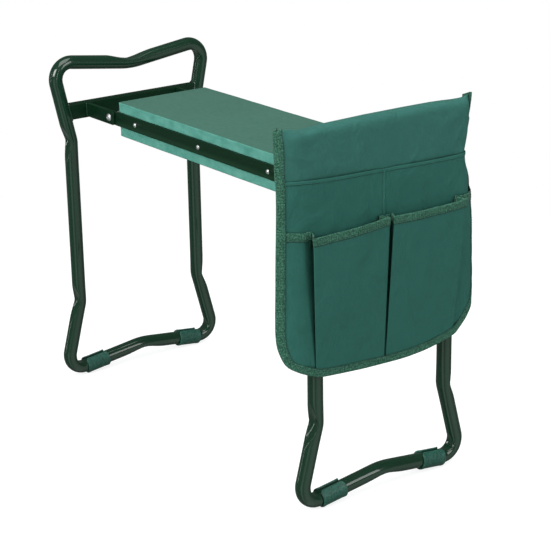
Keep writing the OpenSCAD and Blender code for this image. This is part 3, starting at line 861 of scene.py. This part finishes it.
def smoothed(heights, values, sigma):
    """Lookup by z of a table blurred over sigma mm."""
    grid = np.arange(120.0, 560.0, 1.0)
    reach = int(4 * sigma)
    kernel = np.exp(-0.5 * (np.arange(-reach, reach + 1) / sigma) ** 2)
    kernel /= kernel.sum()
    padded = np.pad(np.interp(grid, heights, values), reach, mode="edge")
    blurred = np.convolve(padded, kernel, mode="valid")
    return lambda z: np.interp(z, grid, blurred)


wrap_y, wrap_radius, wrap_turn = [smoothed(WRAP[:, 0], WRAP[:, k], 3) for k in (1, 2, 3)]
wing = smoothed(WING[:, 0], WING[:, 1], 6)


def outline_curve():
    """OUTLINE as a smooth curve with points about 3 mm apart."""
    points = []
    last = len(OUTLINE) - 1
    for i in range(last):
        p0, p1, p2, p3 = OUTLINE[[max(i - 1, 0), i, i + 1, min(i + 2, last)]]
        count = max(2, int(np.linalg.norm(p2 - p1) / 3))
        for k in range(count):
            share = k / count
            points.append(0.5 * (2 * p1 + (p2 - p0) * share
                                 + (2 * p0 - 5 * p1 + 4 * p2 - p3) * share * share
                                 + (3 * p1 - 3 * p2 + p3 - p0) * share ** 3))
    points.append(OUTLINE[-1])
    curve = np.array(points)
    curve[:, 0] = np.clip(curve[:, 0], -HALF, HALF)
    # gentle waver of the sewn bottom edge
    curve[:, 1] += (0.7 * np.sin(curve[:, 0] / 19 + 0.8)
                    * smoothstep(HALF - np.abs(curve[:, 0]), 5, 40))
    return curve


CURVE = outline_curve()
inside = np.flatnonzero(np.abs(CURVE[:, 0]) < HALF - 1e-6)
BOTTOM_EDGE = CURVE[max(inside[0] - 1, 0):inside[-1] + 2]


def bottom(across):
    return np.interp(across, *BOTTOM_EDGE.T)


def ridge(across, z, start_across, start_z, end_across, end_z, width, height):
    run, rise = end_across - start_across, end_z - start_z
    along = ((across - start_across) * run + (z - start_z) * rise) / (run ** 2 + rise ** 2)
    along = np.clip(along, 0, 1)
    gap2 = (across - start_across - along * run) ** 2 + (z - start_z - along * rise) ** 2
    return height * np.exp(-gap2 / width ** 2) * np.sqrt(np.maximum(4 * along * (1 - along), 0))


def ripple(across, z):
    """Soft unevenness of the hanging cloth, shared by all layers so that they nest."""
    wave = (0.55 * np.sin(across / 36 + 0.9) * np.sin(z / 52 + 0.4)
            + 0.3 * np.sin((across * 0.8 + z * 0.6) / 24 + 2.0)
            + 0.22 * np.sin((across * 0.5 - z) / 13 + 0.7) * smoothstep(z, 300, 430))
    for row in RIDGES:
        wave = wave + ridge(across, z, *row)
    edge = smoothstep(HALF - np.abs(across), 2, 26)
    return edge * (np.maximum(wave, -0.55 + 0.1 * wave) + 0.1)


def flat_xy(across, z):
    """x and y of the bent panel without its ripples."""
    across, z = np.broadcast_arrays(np.asarray(across, float), np.asarray(z, float))
    start, radius = wrap_y(z), wrap_radius(z)
    y = across + SHIFT
    past = np.maximum(y - start, 0)
    turn = np.minimum(past / radius, np.radians(wrap_turn(z)))
    rest = past - radius * turn
    x = 302 - radius * (1 - np.cos(turn)) - rest * np.sin(turn)
    bent = np.where(y > start, start + radius * np.sin(turn) + rest * np.cos(turn), y)
    return x - wing(z) * np.clip((-across - 124) / 33.5, 0, 1.3) ** 1.8, bent


def front(across, z, proud=0.0):
    """Pattern point to space, proud mm off the panel's middle surface."""
    across, z = np.broadcast_arrays(np.asarray(across, float), np.asarray(z, float))
    x, y = flat_xy(across, z)
    tangent = unit(np.stack(flat_xy(across + 0.5, z), -1) - np.stack(flat_xy(across - 0.5, z), -1))
    proud = proud + ripple(across, z)
    return np.stack([x + tangent[..., 1] * proud, y - tangent[..., 0] * proud,
                     z + np.zeros_like(x)], -1)


def back(across, z, behind=0.0):
    """Back layer: flat behind the hand rail, meeting the front layer at both side seams."""
    right_x, right_y = flat_xy(HALF, z)
    left_x, _ = flat_xy(-HALF, z)
    x = 277.6 - 0.6 * np.sin(across / 29 + z / 40)
    to_right, to_left = smoothstep(across, 132, HALF), smoothstep(-across, 130, HALF)
    x = x + to_right * (right_x - 1.5 - x) + to_left * (left_x - 1.5 - x)
    bend = 110              # from here on y closes in on the right seam
    y = np.where(across > bend,
                 bend + SHIFT + (right_y - bend - SHIFT) * ((across - bend) / (HALF - bend)),
                 across + SHIFT)
    return np.stack([x - behind, y, z + 0 * x], -1)


def clear_tube(mesh, gap=0.4):
    """Moves points that would pass into the leg tube out to its surface."""
    points = np.array(mesh[0], float)
    x, y, z = points.T
    off_x, off_y = x - LEG_X, y - upright_y(z)
    radius = np.maximum(np.hypot(off_x, off_y), 1e-6)
    near = (radius < TUBE_R + gap) & (y > 100) & (z > 400) & (z < 470)
    push = np.where(near, (TUBE_R + gap) / radius, 1.0)
    moved = np.column_stack([LEG_X + off_x * push, y - off_y + off_y * push, z])
    return moved, *mesh[1:]


def sheet(grid, thickness, uv):
    """Closed sheet of some thickness on a grid of points (rows, columns, 3)."""
    rows, count, _ = grid.shape
    normal = unit(np.cross(np.gradient(grid, axis=1), np.gradient(grid, axis=0)))
    half = np.broadcast_to(np.asarray(thickness, float), (rows, count))[..., None] / 2
    points = np.vstack([(grid + normal * half).reshape(-1, 3),
                        (grid - normal * half).reshape(-1, 3)])
    i, j = np.meshgrid(np.arange(rows - 1), np.arange(count - 1), indexing="ij")
    corner = i * count + j
    quads = np.stack([corner, corner + 1, corner + count + 1, corner + count], -1).reshape(-1, 4)
    under = rows * count
    faces = quads.tolist() + (quads[:, ::-1] + under).tolist()
    ids = np.arange(under).reshape(rows, count)
    rim = [*ids[0], *ids[1:, -1], *ids[-1, -2::-1], *ids[-2:0:-1, 0]]
    for here, after in zip(rim, rim[1:] + rim[:1]):
        faces.append([here, here + under, after + under, after])
    return points, faces, np.vstack([uv.reshape(-1, 2)] * 2)


def path_uv(grid, across):
    """uv in mm: across, and distance up each column."""
    steps = np.cumsum(np.linalg.norm(np.diff(grid, axis=0), axis=2), axis=0)
    up = np.concatenate([[np.zeros(grid.shape[1])], steps])
    return np.stack([np.broadcast_to(across, grid.shape[:2]), up], -1)


# columns across the pouch, denser at the middle and on the swept edges
COLUMNS = np.concatenate([np.linspace(-HALF + 0.5, -122, 22)[:-1], np.linspace(-122, -7, 28),
                          np.arange(-6, 6.01, 0.6), np.linspace(7, 112, 26),
                          np.linspace(112, HALF - 0.5, 35)[1:]])


def main_cloth():
    """One cloth from the bottom, up the front, over the hand rail and down behind it."""
    low = bottom(COLUMNS) + 0.8
    rows = [front(COLUMNS, low + (Z_FOLD - low) * k / 72) for k in range(72)]
    near, far = front(COLUMNS, Z_FOLD), back(COLUMNS, Z_FOLD)
    # a squarer section away from the side seams, so that the top edge is crisp
    power = 1 - 0.34 * (1 - smoothstep(np.abs(COLUMNS), 122, 142))
    rise = 15 - np.interp(COLUMNS, *TOP_DROP.T)
    for k in range(17):
        angle = math.pi * k / 16
        share = (1 - math.cos(angle)) / 2
        reach = math.copysign(1, math.cos(angle)) * abs(math.cos(angle)) ** power
        rows.append(np.column_stack([
            (near[:, 0] + far[:, 0]) / 2 + (near[:, 0] - far[:, 0]) / 2 * reach,
            near[:, 1] * (1 - share) + far[:, 1] * share,
            Z_FOLD + rise * max(math.sin(angle), 0.0) ** power]))
    rows += [back(COLUMNS, Z_FOLD + (Z_BACK - Z_FOLD) * k / 14) for k in range(1, 15)]
    grid = np.array(rows)
    return clear_tube(sheet(grid, 0.9, path_uv(grid, COLUMNS)))


def back_hem():
    """Turned-up hem at the back layer's lower edge."""
    grid = np.array([back(COLUMNS, Z_BACK - 0.3 + 10.0 * k / 5, 1.0 - 0.25 * (k == 5))
                     for k in range(6)])[:, 6:-6]
    return sheet(grid, 0.8, path_uv(grid, COLUMNS[6:-6]))


def hem_z(across):
    """Mouth of the flat pocket."""
    base = 431.2 - 0.0355 * across + 0.000115 * across * across
    return base + 0.5 * np.sin(across / 33 + 1) - 0.7 * np.exp(-(across / 10) ** 2)


def gape(across, z):
    """Slack of the flat pocket's mouth, and the welt between the stitch rows down its middle."""
    slack = np.abs(np.sin(np.pi * np.clip((np.abs(across) - 1.5) / 150, 0, 1)))
    welt = (0.75 * np.exp(-(across / 1.5) ** 2)
            - 0.55 * np.exp(-((np.abs(across) - 2.6) / 0.9) ** 2))
    fade = 1 - smoothstep(np.abs(across), 112, 130)
    return 2.0 * slack ** 0.8 * fade * smoothstep(z - hem_z(across), -44, 0) + welt


def flat_pocket():
    """Flat upper pocket over the front, with a folded hem at its mouth."""
    low, high = bottom(COLUMNS) + 1.2, hem_z(COLUMNS)
    rows = []
    for k in range(56):
        z = low + (high - low) * k / 55
        rows.append(front(COLUMNS, z, 1.35 + gape(COLUMNS, z)))
    grid = np.array(rows)
    cloth = sheet(grid, 0.8, path_uv(grid, COLUMNS))
    rows = []
    for k in range(5):
        z = high + 0.4 - 4.6 * (4 - k) / 4
        rows.append(front(COLUMNS, z, 1.8 + gape(COLUMNS, z) + (0.1 if 0 < k < 4 else -0.12)))
    inner = np.abs(COLUMNS) < HALF - 11.0
    grid = np.array(rows)[:, inner]
    return merge([cloth, sheet(grid, 0.7, path_uv(grid, COLUMNS[inner]) + [0, 3.3])])


def pleat_line(opening, side):
    """Section of a pleated pocket at an opening (0 at its bottom, 1 at its mouth).

    Gives (distance from the middle, proud) points from the outer edge inwards, and the number
    of the stretch each lies on: 2 is the pocket's face, halves are rounded corners."""
    depth = PLEAT_DEPTH * opening
    outer = 110.5 + 11.0 * opening if side < 0 else 115.0 + 8.8 * opening
    inner = 0.9 + 2.3 * opening
    corners = np.array([(156.4, FLANGE), (outer - 9.5, FLANGE + 0.15 + 0.02 * depth),
                        (outer, FLANGE + 1.5 + depth), (inner, FLANGE + 1.5 + 0.97 * depth),
                        (inner + 7.0, FLANGE + 0.7), (0.25, FLANGE)])
    cuts = [0, 1.6, 1.7, 1.5, 1.5, 0]       # how far each corner is cut back for rounding
    counts = [16, 5, 30, 4, 3]
    points, stretch = [], []
    for i, count in enumerate(counts):
        start, end = corners[i], corners[i + 1]
        length = np.linalg.norm(end - start)
        first = min(cuts[i], 0.35 * length) / length
        last = 1 - min(cuts[i + 1], 0.35 * length) / length
        points += [start + (end - start) * k for k in np.linspace(first, last, count)]
        stretch += [i] * count
        if i < 4:
            onward = corners[i + 2] - end
            length = np.linalg.norm(onward)
            leave, arrive = points[-1], end + onward * min(cuts[i + 1], 0.35 * length) / length
            for k in (0.25, 0.5, 0.75):
                points.append((1 - k) ** 2 * leave + 2 * k * (1 - k) * end + k * k * arrive)
                stretch.append(i + 0.5)
    return np.array(points), np.array(stretch)


def pleated_pocket(side):
    """Meshes of a lower pocket and its mouth tape, and the line of the tape's stitches."""
    shut, stretch = pleat_line(0.0, side)
    wide, _ = pleat_line(1.0, side)
    count = len(shut)
    number = np.arange(count)
    low = bottom(side * shut[:, 0]) + 2.2
    # the mouth's tape is crumpled where the gusset folds
    fold = np.exp(-((number - 16) / 4.5) ** 2)
    noise = np.random.default_rng(17 + side).normal(0, 2.6, count)
    crumple = fold * np.convolve(noise, [0.25, 0.5, 0.25], "same")
    distance = wide[:, 0]
    face = np.where(stretch == 2, np.sin(np.pi * np.clip((distance - 3) / 118, 0, 1)), 0)

    def grid(start, end, rows, extra=0.0):
        points = []
        for row in range(rows):
            z = start + (end - start) * row / (rows - 1)
            opening = np.clip((z - low - 8.5) / (Z_POCKET - low - 8.5), 0, 1.02)
            out, proud = (shut + (wide - shut) * opening[:, None]).T
            soft = face * (1.7 * np.sin(np.pi * np.clip(opening, 0, 1) ** 1.3 * 0.9)
                           + 0.7 * np.sin(out / 15 + z / 31 + side) * opening
                           + 0.35 * np.sin(out / 7 - z / 19 + 2 * side) * opening)
            pucker = fold * smoothstep(opening, 0.86, 1.0) * 1.3 * np.sin(number * 1.9 + side)
            points.append(front(side * out, z, proud + soft + pucker + extra))
        points = np.array(points)
        return points if side > 0 else points[:, ::-1]

    sag = 1.3 * face
    if side < 0:
        # the left mouth hangs towards its outer fold, and its gusset is pulled up to the seam
        sag = sag + np.where(stretch >= 1.5, 4.2 * np.clip((distance - 12) / 108, 0, 1) ** 1.1,
                             1.2 - 4.4 * smoothstep(distance, 112, 150))
    top = Z_POCKET + crumple - sag
    length = travel(wide)[::side]
    cloth = grid(low, top, 44)
    pocket = sheet(cloth, 0.7, path_uv(cloth, side * length))
    taped = slice(2, -5) if side > 0 else slice(5, -2)
    band = grid(top - 10.0, top + 0.9, 9)[:, taped]
    thickness = np.full(band.shape[:2], 1.9)
    thickness[-1] = 1.1
    thickness[0] = 1.5
    uv = np.stack([np.broadcast_to(length[taped], band.shape[:2]),
                   np.broadcast_to(np.linspace(0, 10.9, 9)[:, None], band.shape[:2])], -1)
    seam = grid(top - 8.2, top - 8.0, 2, 1.0)[0][taped]
    return pocket, sheet(band, thickness, uv), seam


def edge_path():
    """Down the left edge, round the bottom and up the right edge, as (across, z) points."""
    left_top, right_top = 500.6, 499.6
    left = np.arange(left_top, CURVE[0, 1] + 1, -3.5)
    right = np.arange(CURVE[-1, 1] + 3.5, right_top, 3.5)
    path = np.vstack([np.column_stack([np.full(len(left), -HALF), left]), CURVE,
                      np.column_stack([np.full(len(right), HALF), right]), [[HALF, right_top]]])
    path = path[np.append(True, np.linalg.norm(np.diff(path, axis=0), axis=1) > 0.6)]
    for _ in range(2):
        path[1:-1] = (path[:-2] + 2 * path[1:-1] + path[2:]) / 4
    return path


EDGE = edge_path()
EDGE_TANGENT = unit(np.gradient(EDGE, axis=0))
EDGE_S = travel(EDGE)
# the tape's width wanders a little
EDGE_W = TAPE_W + np.convolve(np.random.default_rng(4).normal(0, 0.5, len(EDGE) + 8),
                              np.ones(9) / 9, "valid") * 1.2


def edge_at(width):
    """Pattern points at a width inwards from the edge."""
    share = np.asarray(width) / TAPE_W
    # the cut ends at the top are tilted: highest inside on the left, outside on the right
    tilt = (3.2 * (share - 0.2) * (1 - smoothstep(EDGE_S, 0, 7))
            + 2.0 * (0.4 - share) * smoothstep(EDGE_S, EDGE_S[-1] - 7, EDGE_S[-1]))
    return EDGE[:, 0] - EDGE_TANGENT[:, 1] * width, EDGE[:, 1] + EDGE_TANGENT[:, 0] * width + tilt


def stack(across, z):
    """How far the tape's front leg stands proud, by the layers under it."""
    out = np.abs(across)
    pocket = 1 - smoothstep(z - hem_z(across), -4, 3)
    flange = 1 - smoothstep(z, 375, 382)
    pleats = (1 - smoothstep(out, 117, 127)) * (1 - smoothstep(z, 225, 240))
    mouth = np.exp(-((z - 370.5) / 7.8) ** 4) * smoothstep(out, 140, 146)
    return 0.75 + 1.45 * pocket + 1.3 * flange + 1.75 * pleats + 0.95 * mouth


def tape_front(across, z, proud):
    points = front(across, np.minimum(z, 503.0), proud)
    # near the top the leg leans in towards the back layer
    up = smoothstep(z, Z_FOLD, 497)
    gap = points[..., 0] - proud - back(across, np.minimum(z, 499.0))[..., 0]
    points[..., 0] -= 0.45 * up * np.maximum(gap / 2, 0)
    points[..., 2] = z
    return points


def tape_back(across, z, proud):
    """Back leg: on the back layer above its lower hem, on the panel below it."""
    on_panel = front(across, np.minimum(z, 503.0), -0.75 - proud)
    on_back = back(across, np.minimum(z, 499.0), 0.75 + proud)
    share = smoothstep(z, Z_BACK - 9, Z_BACK + 4)[..., None]
    points = on_panel * (1 - share) + on_back * share
    points[..., 2] = z
    return points


def edge_binding():
    """Tape folded round the whole edge: two legs joined by a rounded turn."""
    shares = np.array([1.0, 0.94, 0.86, 0.78, 0.7, 0.62, 0.54, 0.46, 0.38, 0.3, 0.2, 0.1, 0.03])
    puff = (0.3 * np.sin(EDGE_S / 5.3) * np.sin(EDGE_S / 23 + 1)
            + 0.16 * np.sin(EDGE_S / 2.9 + 2) * np.sin(EDGE_S / 11))
    outer_front, inner_front, outer_back, inner_back = [], [], [], []
    for share in shares:
        across, z = edge_at(share * EDGE_W)
        under = stack(across, z)
        crown = 0.3 * math.sin(math.pi * share)
        # a crease along the middle, and puckers between the stitches near the inner edge
        crease = -0.42 * np.exp(-((share - 0.52 - 0.05 * np.sin(EDGE_S / 17)) / 0.07) ** 2)
        pucker = (0.16 * np.sin(EDGE_S * 2 * np.pi / 3.4)
                  * math.exp(-((share - 0.8) / 0.14) ** 2))
        outer_front.append(tape_front(across, z, under + TAPE_T + crown + crease + pucker
                                      + puff * (share < 0.9)))
        inner_front.append(tape_front(across, z, under + 0.02))
        outer_back.append(tape_back(across, z, TAPE_T + crown * 0.5))
        inner_back.append(tape_back(across, z, 0.02))

    def turn(width, back_proud):
        across, z = edge_at(width)
        return 0.5 * (tape_front(across, z, stack(across, z) * 0.5)
                      + tape_back(across, z, back_proud))

    across, z = edge_at(-0.4)
    lines = (outer_front + [tape_front(across, z, stack(across, z) + 0.2), turn(-0.6, 0.0),
                            tape_back(across, z, 0.2)]
             + outer_back[::-1] + inner_back + [turn(-0.15, -0.3)] + inner_front[::-1])
    grid = np.stack(lines, 1)
    down, up = TAPE_W * (1 - shares), TAPE_W * (1 - shares[::-1])
    widths = np.concatenate([down, TAPE_W + np.array([1.0, 2.0, 3.0]), up, down + 1.7,
                             [TAPE_W + 2], up + 1.7])
    uv = np.stack([np.broadcast_to(EDGE_S[:, None], grid.shape[:2]),
                   np.broadcast_to(widths[None], grid.shape[:2])], -1).reshape(-1, 2)
    return clear_tube((*rings(grid), uv), 0.55)


def stitches(line, pitch=3.4, length=2.5, radius=0.24, normal=(1, 0, 0)):
    """Short raised threads along a line, dipping into the cloth at both ends."""
    distance = travel(line)
    normal = np.array(normal, float)
    lift = 0.12 + np.array([-0.25, 0.1, 0.2, 0.1, -0.25])[:, None]
    radii = radius * np.array([0.45, 0.95, 1.1, 0.95, 0.45])
    threads = []
    for middle in np.arange(pitch / 2, distance[-1] - pitch / 2, pitch):
        place = np.linspace(middle - length / 2, middle + length / 2, 5)
        path = np.column_stack([np.interp(place, distance, line[:, k]) for k in range(3)])
        threads.append(cord(path + lift * normal, radii, normal, 6))
    return threads


def stitching(seams):
    across, z = edge_at(EDGE_W - 2.3)
    threads = stitches(tape_front(across, z, stack(across, z) + TAPE_T + 0.12))
    threads += stitches(tape_back(across, z, TAPE_T + 0.1)[2:-2], normal=(-1, 0, 0))
    # two rows down the middle and one along the flat pocket's hem
    fine = {"pitch": 3.0, "length": 2.2, "radius": 0.2}
    z = np.linspace(hem_z(0) - 1, 377, 60)
    for across in (-2.3, 2.3):
        threads += stitches(front(across, z, 1.8 + gape(across, z)), **fine)
    across = np.linspace(-144, 144, 220)
    z = hem_z(across) - 3.0
    threads += stitches(front(across, z, 2.2 + gape(across, z)), **fine)
    for seam in seams:
        threads += stitches(seam)
    return clear_tube(merge(threads), 0.2)


make("pouch_main_cloth", main_cloth(), PANEL, "tool_pouch", "pouch_panel")
make("pouch_back_hem", back_hem(), PANEL, "tool_pouch")
make("pouch_flat_pocket", flat_pocket(), SHADED_POCKET_CLOTH, "tool_pouch", "pouch_upper_pocket")
mouths, seams = [], []
for side, word in SIDES:
    pocket, mouth, seam = pleated_pocket(side)
    make("pouch_pleated_pocket_" + word, pocket, SHADED_POCKET_CLOTH, "tool_pouch", "pouch_pocket_" + word)
    mouths.append(mouth)
    seams.append(seam)
make("pouch_mouth_binding", merge(mouths), TAPE, "tool_pouch", "pouch_pocket_tape")
make("pouch_edge_binding", edge_binding(), TAPE, "tool_pouch", "pouch_edge_tape")
make("pouch_stitching", stitching(seams), THREAD, "tool_pouch")


# ------------------------------------------------------------------ studio

def floor_material():
    """Grey floor that the camera sees as glowing, fading to white, and clear from below."""
    mat = Material("studio_floor")
    at = mat.coord()
    grey = mat.mix((0.30, 0.30, 0.30), (0.33, 0.33, 0.33), mat.noise(at, scale=3))
    grain = mat.bump(mat.noise(at, scale=250, detail=2), strength=0.03, distance=0.0003)
    lit = mat.node("ShaderNodeBsdfDiffuse", Color=grey, Normal=grain).outputs[0]
    glow = mat.node("ShaderNodeEmission", Color=(0.995, 1.0, 1.0), Strength=0.84).outputs[0]
    near = mat.node("ShaderNodeAddShader", lit, glow).outputs[0]
    white = mat.node("ShaderNodeEmission", Color=(1.0, 1.0, 1.0), Strength=1.0).outputs[0]
    x2, y2 = [mat.math("POWER", part, 2.0) for part in mat.split(at)[:2]]
    distance = mat.math("DIVIDE", mat.math("SQRT", mat.add(x2, y2)), 2.0)
    far = mat.ramp(distance, start=0.30, end=0.62, ease="EASE")
    seen = mat.node("ShaderNodeMixShader", far, near, white).outputs[0]
    camera_ray, again = [mat.node("ShaderNodeLightPath").outputs["Is Camera Ray"]
                         for _ in range(2)]
    above = mat.node("ShaderNodeMixShader", camera_ray, lit, seen).outputs[0]
    below = mat.mul(again, mat.node("ShaderNodeNewGeometry").outputs["Backfacing"])
    clear = mat.node("ShaderNodeBsdfTransparent").outputs[0]
    both = mat.node("ShaderNodeMixShader", below, above, clear).outputs[0]
    mat.node("ShaderNodeOutputMaterial", both)
    return mat.material


def floor():
    material = floor_material()
    data = bpy.data.meshes.new("studio_floor")
    half, z = 14.0, -0.0003
    data.from_pydata([(-half, -half, z), (half, -half, z), (half, half, z), (-half, half, z)],
                     [], [(0, 1, 2, 3)])
    data.materials.append(material)
    ground = bpy.data.objects.new("studio_floor", data)
    scene.collection.objects.link(ground)
    ground.visible_glossy = False


# pale cards seen in reflections: direction x, y; cosines where a card starts and is full; power
CARDS = [(0.982, 0.189, 0.62, 0.98, 0.44), (0.514, -0.858, 0.955, 0.99, 0.55)]


def studio_world():
    """White to the camera, pale to soft light, a dim room with low cards to glossy rays."""
    world = bpy.data.worlds.new("studio")
    scene.world = world
    world.use_nodes = True
    sky = Nodes(world.node_tree)

    def calc(op, *values, clamp=False):
        return sky.node("ShaderNodeMath", *values, operation=op, use_clamp=clamp).outputs[0]

    def background(colour, strength):
        return sky.node("ShaderNodeBackground", colour, strength).outputs[0]

    direction = sky.node("ShaderNodeTexCoord").outputs["Generated"]
    x, y, z = sky.node("ShaderNodeSeparateXYZ", direction).outputs
    level = calc("SQRT", calc("ADD", *[calc("POWER", calc("ABSOLUTE", part), 2.0)
                                       for part in (x, y)]))
    glow = 0.08
    for card_x, card_y, start, full, power in CARDS:
        along = calc("DIVIDE", calc("ADD", calc("MULTIPLY", x, card_x),
                                    calc("MULTIPLY", y, card_y)),
                     calc("MAXIMUM", level, 0.001))
        card = calc("DIVIDE", calc("SUBTRACT", along, start), full - start, clamp=True)
        glow = calc("ADD", calc("MULTIPLY", card, power), glow)
    # the cards stand below the horizon
    below = calc("MULTIPLY", calc("SUBTRACT", 0.05, z), 8.0, clamp=True)
    room = calc("ADD", calc("MULTIPLY", calc("SUBTRACT", glow, 0.02), below), 0.10)
    rays = sky.node("ShaderNodeLightPath").outputs
    unseen = sky.node("ShaderNodeMixShader", rays["Is Glossy Ray"],
                      background((0.93, 0.97, 1.0), 0.34),
                      background((0.82, 1.0, 0.90), room)).outputs[0]
    shown = sky.node("ShaderNodeMixShader", rays["Is Camera Ray"], unseen,
                     background((1, 1, 1), 1.0)).outputs[0]
    sky.node("ShaderNodeOutputWorld", shown)


LIGHT_TARGET = Vector((0, 0, 0.25))
# name, place, size in metres, power in watts
LIGHTS = [("key_softbox", (0.6, -2.9, 1.8), (1.6, 1.6), 66),
          ("strip_softbox", (2.9, -1.1, 0.9), (0.10, 2.2), 6),
          ("left_strip_softbox", (-1.7, -2.5, 0.7), (0.10, 2.0), 5),
          ("top_softbox", (0.7, -0.3, 3.1), (2.4, 2.4), 50),
          ("side_softbox", (3.0, 0.9, 1.5), (1.4, 1.6), 24),
          ("back_fill", (-1.5, 2.7, 1.7), (1.8, 1.6), 34)]


def area_light(name, place, size, power):
    data = bpy.data.lights.new(name, "AREA")
    data.shape = "RECTANGLE"
    data.size, data.size_y = size
    data.energy = power
    light = bpy.data.objects.new(name, data)
    light.location = place
    aim = LIGHT_TARGET - Vector(place)
    light.rotation_euler = aim.to_track_quat("-Z", "Y").to_euler()
    scene.collection.objects.link(light)
    return light


def camera():
    """Looks from the right and front, a little above."""
    data = bpy.data.cameras.new("camera")
    view = bpy.data.objects.new("camera", data)
    scene.collection.objects.link(view)
    azimuth, elevation, roll = [math.radians(angle) for angle in (53.88, 18.89, -0.96)]
    distance = 2.407
    target = Vector((0.0317, 0.0233, 0.2152))
    backward = Vector((math.sin(azimuth) * math.cos(elevation),
                       -math.cos(azimuth) * math.cos(elevation), math.sin(elevation)))
    right = Vector((math.cos(azimuth), math.sin(azimuth), 0))
    up = backward.cross(right)
    axes = Matrix((math.cos(roll) * right + math.sin(roll) * up,
                   -math.sin(roll) * right + math.cos(roll) * up, backward))
    view.matrix_world = (Matrix.Translation(target + backward * distance)
                         @ axes.transposed().to_4x4())
    data.sensor_width = 36
    data.lens = 113.76
    data.clip_start, data.clip_end = 0.05, 60
    scene.camera = view


floor()
studio_world()
for row in LIGHTS:
    light = area_light(*row)
light.visible_glossy = False    # the back fill, last in the table
camera()

scene.view_settings.view_transform = "Standard"
scene.view_settings.look = "None"
scene.view_settings.exposure = 0.0
scene.view_settings.gamma = 1.0

bpy.context.view_layer.update()
